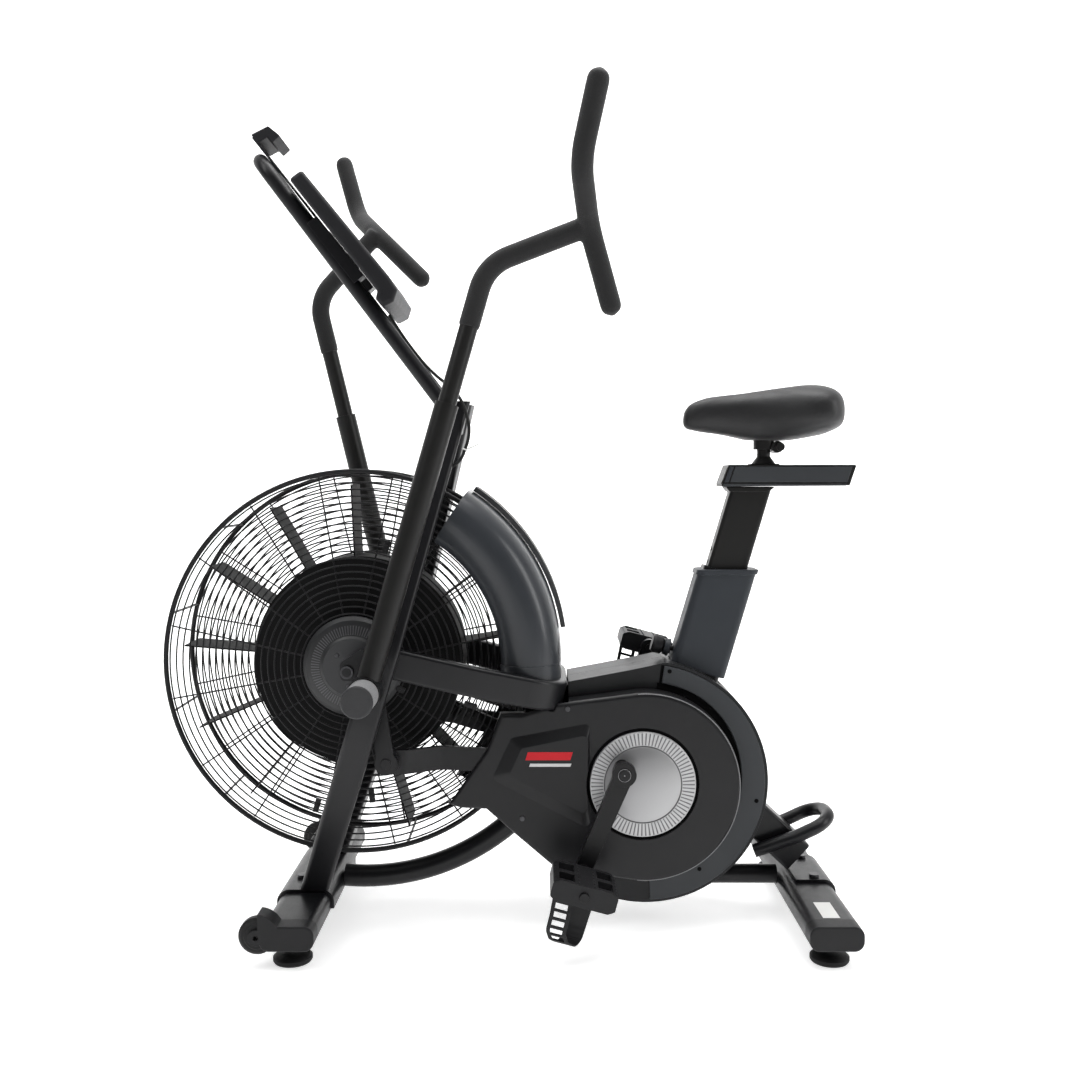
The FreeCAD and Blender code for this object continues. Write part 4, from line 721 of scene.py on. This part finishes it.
PEDAL_TILT = math.radians(15)
CRANK_LENGTH, CRANK_LEAN = 0.170, 23
STRAP_STEP = 0.0022
STRAP_ACROSS = (0.966, -0.258)
STRAP_LANES = [-0.0155, -0.015, -0.0095, -0.009, 0.009, 0.0095, 0.015, 0.0155]
STRAP_PATH = [(-31, 0.2365, -8), (-36, 0.2385, -35), (-42, 0.237, -60), (-38, 0.230, -76),
              (-26, 0.219, -86), (-17, 0.208, -80), (-10, 0.2035, -60), (-2, 0.203, -35),
              (2, 0.204, -18)]


def pedal_centre(side):
    angle = math.radians(side * 90 - CRANK_LEAN)
    return (CRANK[0] + CRANK_LENGTH * math.cos(angle), CRANK[1] + CRANK_LENGTH * math.sin(angle))


def pedal_point(side, x, z):
    centre = pedal_centre(side)
    return (centre[0] + x * math.cos(PEDAL_TILT) + z * math.sin(PEDAL_TILT),
            centre[1] - x * math.sin(PEDAL_TILT) + z * math.cos(PEDAL_TILT))


def evenly_spaced(path, step):
    """Points at equal steps along a path."""
    points, left = [path[0].copy()], step
    for first, second in zip(path, path[1:]):
        length, gone = (second - first).length, 0.0
        while length - gone >= left:
            gone += left
            points.append(first.lerp(second, gone / length))
            left = step
        left -= length - gone
    return points


def make_strap(name, side):
    """A moulded ladder strap hung under the pedal: openings down its outer leg only."""
    path = rounded_path([(x * MM, y, z * MM) for x, y, z in STRAP_PATH],
                        [0.012] * (len(STRAP_PATH) - 2), 0.0025)
    spaced = evenly_spaced(path, STRAP_STEP)
    middle = pedal_point(side, 0, 0)
    bm = bmesh.new()
    rows = []
    for point in spaced:
        rows.append([bm.verts.new((middle[0] + point.x + STRAP_ACROSS[0] * lane, side * point.y,
                                   middle[1] + point.z + STRAP_ACROSS[1] * lane))
                     for lane in STRAP_LANES])
    for step, (first, second) in enumerate(zip(rows, rows[1:])):
        open_here = 4 <= step < 34 and (step - 4) % 6 < 4
        for lane in range(len(STRAP_LANES) - 1):
            if open_here and 2 <= lane <= 4:
                continue
            bm.faces.new((first[lane], first[lane + 1], second[lane + 1], second[lane]))
    bmesh.ops.recalc_face_normals(bm, faces=bm.faces)
    piece = new_piece(f"{name}_strap", bm, "strap_rubber", None)
    modifier(piece, "SOLIDIFY", thickness=0.0028, offset=0.0)
    modifier(piece, "BEVEL", width=0.0006, segments=2, limit_method="ANGLE")
    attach(piece, f"{name}_pedal")
    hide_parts(f"{name}_toe_strap")
    clip = [(middle[0] + x * MM, middle[1] + z * MM) for x, z in
            ((-48, -7), (-16, -14), (-13, -1), (-45, 6))]
    slab_piece(f"{name}_strap_buckle", clip, (0.2345, 0.2395), side, "pedal_plastic",
               f"{name}_pedal")


def make_pedal_studs(name, side):
    """Rows of small grip studs along the pedal's four treads, on both of its faces."""
    bm = bmesh.new()
    for tread in (-46, -12, 12, 46):
        for face in (-1, 1):
            for index in range(7):
                y = 0.172 + 0.0128 * index
                height = 16.5 if abs(tread) < 40 else 12.0
                x, z = pedal_point(side, tread * MM, face * height * MM)
                round_part(bm, (x, side * y, z), (0.0022, 0.0014), 0.0022, 10,
                           Matrix.Rotation(PEDAL_TILT, 4, "Y"))
    new_piece(f"{name}_pedal_studs", bm, "pedal_plastic", f"{name}_pedal", smooth=False)


# --- Covers, sleeve and rail: pieces laid over the CAD shapes ---

BAND = (0.218, 0.238)
FACE = (0.214, 0.240)
BAND_SIDE, FACE_SIDE = 0.062, 0.103
PROUD = BAND_SIDE + 0.0001
BAND_RADIUS, FACE_RADIUS = 0.1955, 0.1520
# Radii of the ring painted near black as the shade in the recess round the disc.
DISC_SHADE_RADII = (0.0860, 0.0908)
BAND_SCREWS = ((0.1885, 78.6), (0.1836, -9.3), (0.1685, -58.4))


def on_circle(centre, radius, degrees):
    angle = math.radians(degrees)
    return centre[0] + radius * math.cos(angle), centre[1] + radius * math.sin(angle)


def sector_piece(name, inner, outer, first, last, span, side, slot, bevel=0.0):
    """A raised strip between two curves about the band's centre; radii run over the angle."""
    count = 72
    bm = bmesh.new()
    rows = []
    for index in range(count + 1):
        degrees = first + (last - first) * index / count
        near_x, near_z = on_circle(BAND, inner(degrees), degrees)
        far_x, far_z = on_circle(BAND, outer(degrees), degrees)
        row = [bm.verts.new((x, side * y, z)) for x, z, y in
               ((near_x, near_z, span[0]), (near_x, near_z, span[1]),
                (far_x, far_z, span[1]), (far_x, far_z, span[0]))]
        rows.append(row)
    skin(bm, rows)
    close_ends(bm, rows)
    bmesh.ops.recalc_face_normals(bm, faces=bm.faces)
    piece = new_piece(name, bm, slot, "frame", smooth=False)
    if bevel:
        modifier(piece, "BEVEL", width=bevel, segments=3, limit_method="ANGLE")


def band_inner(degrees):
    """The raised strip's inner edge, which closes on the face circle towards the rear."""
    marks = [(-90, 150), (-60, 151.5), (-20, 154), (0, 156), (10, 157.5), (25, 160.5), (40, 163.5),
             (57, 166), (90, 167)]
    for (low, start), (high, stop) in zip(marks, marks[1:]):
        if degrees <= high:
            return (start + (stop - start) * (degrees - low) / (high - low)) * MM
    return marks[-1][1] * MM


def make_cover_trim(name, side):
    """Raised outer strip, near-black sheets painted as the shade in the gap inside it and in the
    ring round the disc, and a thin light ring painted as the highlight along the face's edge.
    """
    sector_piece(f"{name}_band_trim", band_inner, lambda degrees: BAND_RADIUS, 81.5, -88,
                 (PROUD, BAND_SIDE + 0.0045), side, "trim_plastic", bevel=0.0014)
    # Near-black sheets painted as the shade in the gap between the face and the raised strip, and
    # at the strip's end by the lug.
    sector_piece(f"{name}_band_painted_shade", lambda degrees: 0.151,
                 lambda degrees: band_inner(degrees) - 0.0004, 84, -60,
                 (PROUD, BAND_SIDE + 0.0006), side, "painted_shade_and_screw_black")
    sector_piece(f"{name}_lug_painted_shade", lambda degrees: 0.166, lambda degrees: 0.196, 82.9, 81.6,
                 (PROUD, BAND_SIDE + 0.0012), side, "painted_shade_and_screw_black")
    screws = bmesh.new()
    for radius, degrees in BAND_SCREWS:
        x, z = on_circle(BAND, radius, degrees)
        round_part(screws, (x, side * (BAND_SIDE + 0.0046), z), (0.0034, 0.0034), 0.0012, 24)
    new_piece(f"{name}_band_screws", screws, "painted_shade_and_screw_black", "frame", smooth=False)
    # A thin light ring along the face circle, painted as its edge highlight.
    lip = bmesh.new()
    path = [Vector((*on_circle(FACE, FACE_RADIUS, degrees), 0)) for degrees in range(95, -97, -2)]
    tube_into(lip, [Vector((point.x, side * (FACE_SIDE - 0.0019), point.y)) for point in path],
              0.0009, 10)
    new_piece(f"{name}_face_painted_highlight", lip, "painted_highlight_plastic", "frame")
    # A near-black ring painted as the shade in the recess round the disc.
    ring = bmesh.new()
    inner, outer = [], []
    for index in range(97):
        for edge, radius in zip((inner, outer), DISC_SHADE_RADII):
            x, z = on_circle(DISC, radius, 3.75 * index)
            edge.append(ring.verts.new((x, side * (FACE_SIDE - 0.0017), z)))
    for index in range(96):
        ring.faces.new((inner[index], inner[index + 1], outer[index + 1], outer[index]))
    bmesh.ops.remove_doubles(ring, verts=ring.verts, dist=0.00001)
    piece = new_piece(f"{name}_disc_painted_shade", ring, "painted_shade_and_screw_black", "frame", smooth=False)
    modifier(piece, "SOLIDIFY", thickness=0.0003, offset=0.0)


SLEEVE_TOP = Vector((0.356, 0.0, 0.585))
SLEEVE_FOOT = -0.176
KNOB = Vector((0.262, 0.0, 0.452))
SEAT_TILT = math.radians(16.2)
SEAT_AXIS = Vector((math.sin(SEAT_TILT), 0.0, math.cos(SEAT_TILT)))
SEAT_DEPTH = Vector((math.cos(SEAT_TILT), 0.0, -math.sin(SEAT_TILT)))


def rounded_rectangle(depth, width, corner, steps=6):
    points = []
    for quarter, (across, out) in enumerate(((1, 1), (-1, 1), (-1, -1), (1, -1))):
        for step in range(steps + 1):
            angle = math.pi / 2 * (quarter + step / steps)
            points.append((across * (depth / 2 - corner) + corner * math.cos(angle),
                           out * (width / 2 - corner) + corner * math.sin(angle)))
    return points


def join_rings(bm, rings):
    """Join closed rings of equal length in a loop, the last one back to the first."""
    made = [[bm.verts.new(point) for point in ring] for ring in rings]
    skin(bm, made + made[:1])
    bmesh.ops.recalc_face_normals(bm, faces=bm.faces)


def sleeve_ring(depth, width, corner, level=None):
    """A section of the sleeve, cut level at a height or square at its foot."""
    ring = []
    for along, out in rounded_rectangle(depth * MM, width * MM, corner * MM):
        run = SLEEVE_FOOT
        if level is not None:
            run = (level * MM - SLEEVE_TOP.z - SEAT_DEPTH.z * along) / SEAT_AXIS.z
        point = SLEEVE_TOP + SEAT_DEPTH * along + SEAT_AXIS * run
        ring.append(Vector((point.x, out, point.z)))
    return ring


def make_sleeve():
    """The moulded sleeve with its level top, its lip, and the boss that the knob screws into."""
    bm = bmesh.new()
    join_rings(bm, [sleeve_ring(94, 62, 12), sleeve_ring(94, 62, 12, 577.5),
                    sleeve_ring(99, 67, 13, 578.6), sleeve_ring(99, 67, 13, 585.0),
                    sleeve_ring(97.6, 65.6, 12.4, 586.2), sleeve_ring(66.2, 35.2, 6, 586.2),
                    sleeve_ring(66.2, 35.2, 6, 562), sleeve_ring(88, 56, 9, 556),
                    sleeve_ring(88, 56, 9)])
    sleeve = new_piece("seat_sleeve", bm, "sleeve_plastic", "frame", smooth=False)
    modifier(sleeve, "BEVEL", width=0.0006, segments=2, limit_method="ANGLE")
    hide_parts("seat_cover")
    boss = bmesh.new()
    outward = Vector((-SEAT_AXIS.z, 0.0, SEAT_AXIS.x))
    start = KNOB + outward * 0.001
    rings = []
    for radius, out in ((4.3, 0), (15, 0), (15, 2), (14.4, 3), (13.2, 8.2), (12.4, 9), (4.3, 9)):
        ring = []
        for index in range(48):
            angle = 2 * math.pi * index / 48
            turn = SEAT_AXIS * math.cos(angle) + Vector((0, 1, 0)) * math.sin(angle)
            ring.append(start + outward * out * MM + turn * radius * MM)
        rings.append(ring)
    join_rings(boss, rings)
    new_piece("knob_boss", boss, "sleeve_plastic", "frame", smooth=False)


SKIRT = 0.027


def make_wind_skirt():
    """The wind guard's lower ends, carried on down over the yoke."""
    source = frame["nodes"]["wind_guard"].data
    bm = bmesh.new()
    bm.from_mesh(source)
    bmesh.ops.remove_doubles(bm, verts=bm.verts, dist=0.00001)
    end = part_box("wind_guard")[0][2]
    bmesh.ops.translate(bm, verts=bm.verts, vec=(0.0, 0.0, -SKIRT))
    geometry = bm.verts[:] + bm.edges[:] + bm.faces[:]
    cut = bmesh.ops.bisect_plane(bm, geom=geometry, plane_co=(0, 0, end - 0.0002),
                                 plane_no=(0, 0, 1), clear_outer=True)
    rim = [item for item in cut["geom_cut"] if isinstance(item, bmesh.types.BMEdge)]
    bmesh.ops.holes_fill(bm, edges=rim)
    bmesh.ops.recalc_face_normals(bm, faces=bm.faces)
    new_piece("wind_guard_skirt", bm, "shell_plastic", "frame", smooth=False)


def make_crank_cap(name, side):
    """The dust cap pressed into the end of the spindle."""
    out = max(abs(corner[1]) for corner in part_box("crankshaft"))
    bm = bmesh.new()
    rings = []
    for radius, height in ((0.0012, 0.0016), (0.0070, 0.0016), (0.0092, 0.0008), (0.0096, 0.0001),
                           (0.0012, 0.0001)):
        ring = []
        for index in range(40):
            x, z = on_circle(CRANK, radius, 9 * index)
            ring.append(Vector((x, side * (out + height), z)))
        rings.append(ring)
    join_rings(bm, rings)
    new_piece(f"{name}_crank_cap", bm, "cap_plastic", "crank", smooth=False)


def make_rail_trim():
    """Satin side panels, the lip under them, end inserts and the flange on the post."""
    panel = [(0.3570, 0.7312), (0.5508, 0.7312), (0.5590, 0.7572), (0.3655, 0.7572)]
    lip = [(0.3450, 0.7242), (0.5490, 0.7255), (0.5500, 0.7290), (0.3462, 0.7285)]
    cap = [(0.3475, 0.7312), (0.3552, 0.7312), (0.3637, 0.7572), (0.3570, 0.7572)]
    for name, side in SIDES.items():
        slab_piece(f"{name}_rail_panel", panel, (0.0301, 0.0312), side, "trim_plastic", "seat",
                   bevel=0.0004)
        slab_piece(f"{name}_rail_lip", lip, (0.0301, 0.0318), side, "trim_plastic", "seat",
                   bevel=0.0004)
        slab_piece(f"{name}_rail_corner", cap, (0.0301, 0.0310), side, "sleeve_plastic", "seat",
                   bevel=0.0004)
    flange = [(0.3520, 0.7238), (0.4340, 0.7238), (0.4260, 0.7175), (0.4190, 0.7150),
              (0.3590, 0.7150), (0.3560, 0.7180)]
    slab_piece("post_flange", flange, (-0.0215, 0.0215), 1, "post_paint", "seat", bevel=0.001)


# --- Small details on the frame ---

def guard_side(radius):
    share = (GUARD_RIM_RADIUS - radius) / (GUARD_RIM_RADIUS - GUARD_HUB_RADIUS)
    return GUARD_RIM_SIDE + share * (GUARD_HUB_SIDE - GUARD_RIM_SIDE)


GUARD_CLIPS = [(-0.320, 0.205), (-0.203, 0.627), (-0.230, 0.222), (-0.069, 0.371), (-0.183, 0.402)]


def make_guard_clips(name, side):
    """Clips that hold the cage's spokes to the frame's hidden stays."""
    bm = bmesh.new()
    for x, z in GUARD_CLIPS:
        radius = math.hypot(x - FAN[0], z - FAN[1])
        out = guard_side(radius)
        angle = math.atan2(z - FAN[1], x - FAN[0])
        turn = Matrix.Rotation(-angle, 4, "Y")
        place = Matrix.Translation((x, side * (out + 0.0005), z)) @ turn
        size = Matrix.Diagonal((0.022, 0.006, 0.009, 1))
        bmesh.ops.create_cube(bm, size=1.0, matrix=place @ size)
        round_part(bm, (x, side * (out + 0.004), z), (0.0045, 0.0045), 0.004, 6)
    bmesh.ops.bevel(bm, geom=bm.edges[:], offset=0.0006, segments=2, affect="EDGES")
    new_piece(f"{name}_guard_clips", bm, "cap_plastic", "frame", smooth=False)


HUB_SIDE, MARK_SIDE = 0.1216, 0.1113


def make_hub_screws(name, side):
    """Three small screws in the hub cap."""
    bm = bmesh.new()
    for degrees in (20, 140, 260):
        x, z = on_circle(FAN, 0.030, degrees)
        round_part(bm, (x, side * HUB_SIDE, z), (0.0034, 0.0028), 0.0016, 24)
    new_piece(f"{name}_hub_screws", bm, "screw_steel", "frame", smooth=False)


def plain_shader(name, base, rough):
    return painted(name, base, rough, bevel=0.0, wear=0.0).material


def decal(name, corners, side, out, material):
    """A thin printed patch on a flat cover."""
    bm = bmesh.new()
    bm.faces.new([bm.verts.new((x, side * out, z)) for x, z in corners])
    bmesh.ops.subdivide_edges(bm, edges=bm.edges[:], cuts=2, use_grid_fill=True)
    piece = new_piece(name, bm, None, "frame", smooth=False)
    piece.data.materials.append(material)
    modifier(piece, "SOLIDIFY", thickness=0.00025, offset=0.0)


def make_marks():
    """A plain coloured stripe pair on each cover, in place of any lettering."""
    red = plain_shader("stripe_red", (0.55, 0.012, 0.02), 0.4)
    white = plain_shader("stripe_white", (0.62, 0.62, 0.62), 0.45)
    wide = [(0.020, 0.287), (0.092, 0.287), (0.096, 0.300), (0.024, 0.300)]
    thin = [(0.026, 0.2765), (0.092, 0.2765), (0.094, 0.2815), (0.028, 0.2815)]
    for name, side in SIDES.items():
        decal(f"{name}_cover_stripe", wide, side, MARK_SIDE, red)
        decal(f"{name}_cover_line", thin, side, MARK_SIDE, white)


TUBE_TOP = 0.07015


def make_label():
    """A blank white sticker on top of the rear stabiliser."""
    paper = plain_shader("sticker_paper", (0.68, 0.68, 0.66), 0.5)
    bm = bmesh.new()
    corners = [(0.474, -0.214), (0.500, -0.214), (0.500, -0.150), (0.474, -0.150)]
    bm.faces.new([bm.verts.new((x, y, TUBE_TOP)) for x, y in corners])
    bmesh.ops.subdivide_edges(bm, edges=bm.edges[:], cuts=3, use_grid_fill=True)
    piece = new_piece("rear_sticker", bm, None, "frame", smooth=False)
    piece.data.materials.append(paper)
    modifier(piece, "SOLIDIFY", thickness=0.0002, offset=0.0)


WELD_RADIUS, WELD_THICK, WELD_SIDE = 0.0245, 0.0018, 0.2052


def make_weld(name, side):
    """A ring of overlapping weld ripples round the lever's pivot."""
    centre = Vector((PIVOT[0], side * WELD_SIDE, PIVOT[1]))
    path = []
    for index in range(97):
        angle = 2 * math.pi * index / 96
        path.append(centre + Vector((WELD_RADIUS * math.cos(angle), 0,
                                     WELD_RADIUS * math.sin(angle))))
    total = sum((b - a).length for a, b in zip(path, path[1:]))

    def ripple(share):
        return WELD_THICK * (1 + 0.18 * math.sin(share * total / 0.0016))
    bm = bmesh.new()
    tube_into(bm, path, ripple, 10)
    new_piece(f"{name}_pivot_weld", bm, "frame_paint", "frame")


# --- Studio ---

CAMERA_PLACE = (0.0435, -1.9, 0.735)
CAMERA_DOWN = math.radians(3.04)
LENS, SENSOR = 37.7, 36.0


def make_studio():
    """A pale sweep behind and below the bike, soft lights and the camera."""
    bm = bmesh.new()
    profile = [(-6.0, 0.0), (2.6, 0.0)]
    for index in range(1, 13):
        angle = math.pi / 2 * index / 12
        profile.append((2.6 + 1.4 * math.sin(angle), 1.4 - 1.4 * math.cos(angle)))
    profile.append((4.0, 7.0))
    rows = [[bm.verts.new((x, y, z)) for x in (-9.0, 9.0)] for y, z in profile]
    for first, second in zip(rows, rows[1:]):
        bm.faces.new((first[0], first[1], second[1], second[0]))
    floor = new_piece("floor", bm, None, None)
    pale = painted("floor_paint", (0.86, 0.86, 0.86), 0.7, bevel=0.0, wear=0.0, mottle=0.02)
    pale.bsdf.inputs["Emission Color"].default_value = (1.0, 1.0, 1.0, 1.0)
    pale.bsdf.inputs["Emission Strength"].default_value = 0.6
    floor.data.materials.append(pale.material)

    world = bpy.data.worlds.new("studio")
    bpy.context.scene.world = world
    world.use_nodes = True
    tree = world.node_tree
    place = tree.nodes.new("ShaderNodeTexCoord")
    axes = tree.nodes.new("ShaderNodeSeparateXYZ")
    depth = tree.nodes.new("ShaderNodeMapRange")
    tree.links.new(place.outputs["Generated"], axes.inputs[0])
    tree.links.new(axes.outputs[1], depth.inputs["Value"])
    for key, value in (("From Min", -0.2), ("From Max", 0.8), ("To Min", 0.07), ("To Max", 1.0)):
        depth.inputs[key].default_value = value
    tree.links.new(depth.outputs["Result"], tree.nodes["Background"].inputs["Color"])
    tree.nodes["Background"].inputs["Strength"].default_value = 1.0

    lights = [
        # name, place, aim, width, height, watts
        ("key", (-2.0, -1.3, 2.8), (0.0, 0.0, 0.6), 0.7, 1.8, 24.0),
        ("fill", (2.7, -0.9, 1.5), (0.2, 0.0, 0.6), 0.6, 2.0, 30.0),
        ("top", (0.2, 0.4, 3.2), (0.0, 0.0, 0.5), 2.4, 1.2, 62.0),
        ("floor", (0.0, -1.2, 3.6), (0.0, -1.2, 0.0), 4.0, 1.6, 40.0),
        ("back", (0.0, 2.2, 2.2), (0.0, 3.6, 1.0), 4.0, 1.5, 60.0),
    ]
    for name, place, aim, width, height, watts in lights:
        data = bpy.data.lights.new(name, "AREA")
        data.shape = "RECTANGLE"
        data.size, data.size_y = width, height
        data.energy = watts
        lamp = linked(name, data)
        lamp.location = place
        lamp.rotation_euler = (Vector(aim) - Vector(place)).to_track_quat("-Z", "Y").to_euler()
        lamp.visible_camera = False

    data = bpy.data.cameras.new("camera")
    data.sensor_width = SENSOR
    data.lens = LENS
    camera = linked("camera", data)
    camera.location = CAMERA_PLACE
    camera.rotation_euler = (math.pi / 2 - CAMERA_DOWN, 0.0, 0.0)
    bpy.context.scene.camera = camera
    bpy.context.scene.view_settings.view_transform = "Standard"
    bpy.context.scene.view_settings.look = "None"


def main():
    make_saddle()
    for name, side in SIDES.items():
        make_grip(name, side)
        make_strap(name, side)
        make_pedal_studs(name, side)
        make_guard_clips(name, side)
        make_hub_screws(name, side)
        make_cover_trim(name, side)
        make_crank_cap(name, side)
    make_rail_trim()
    make_sleeve()
    make_wind_skirt()
    make_marks()
    make_label()
    for name, side in SIDES.items():
        make_weld(name, side)
    make_studio()


main()
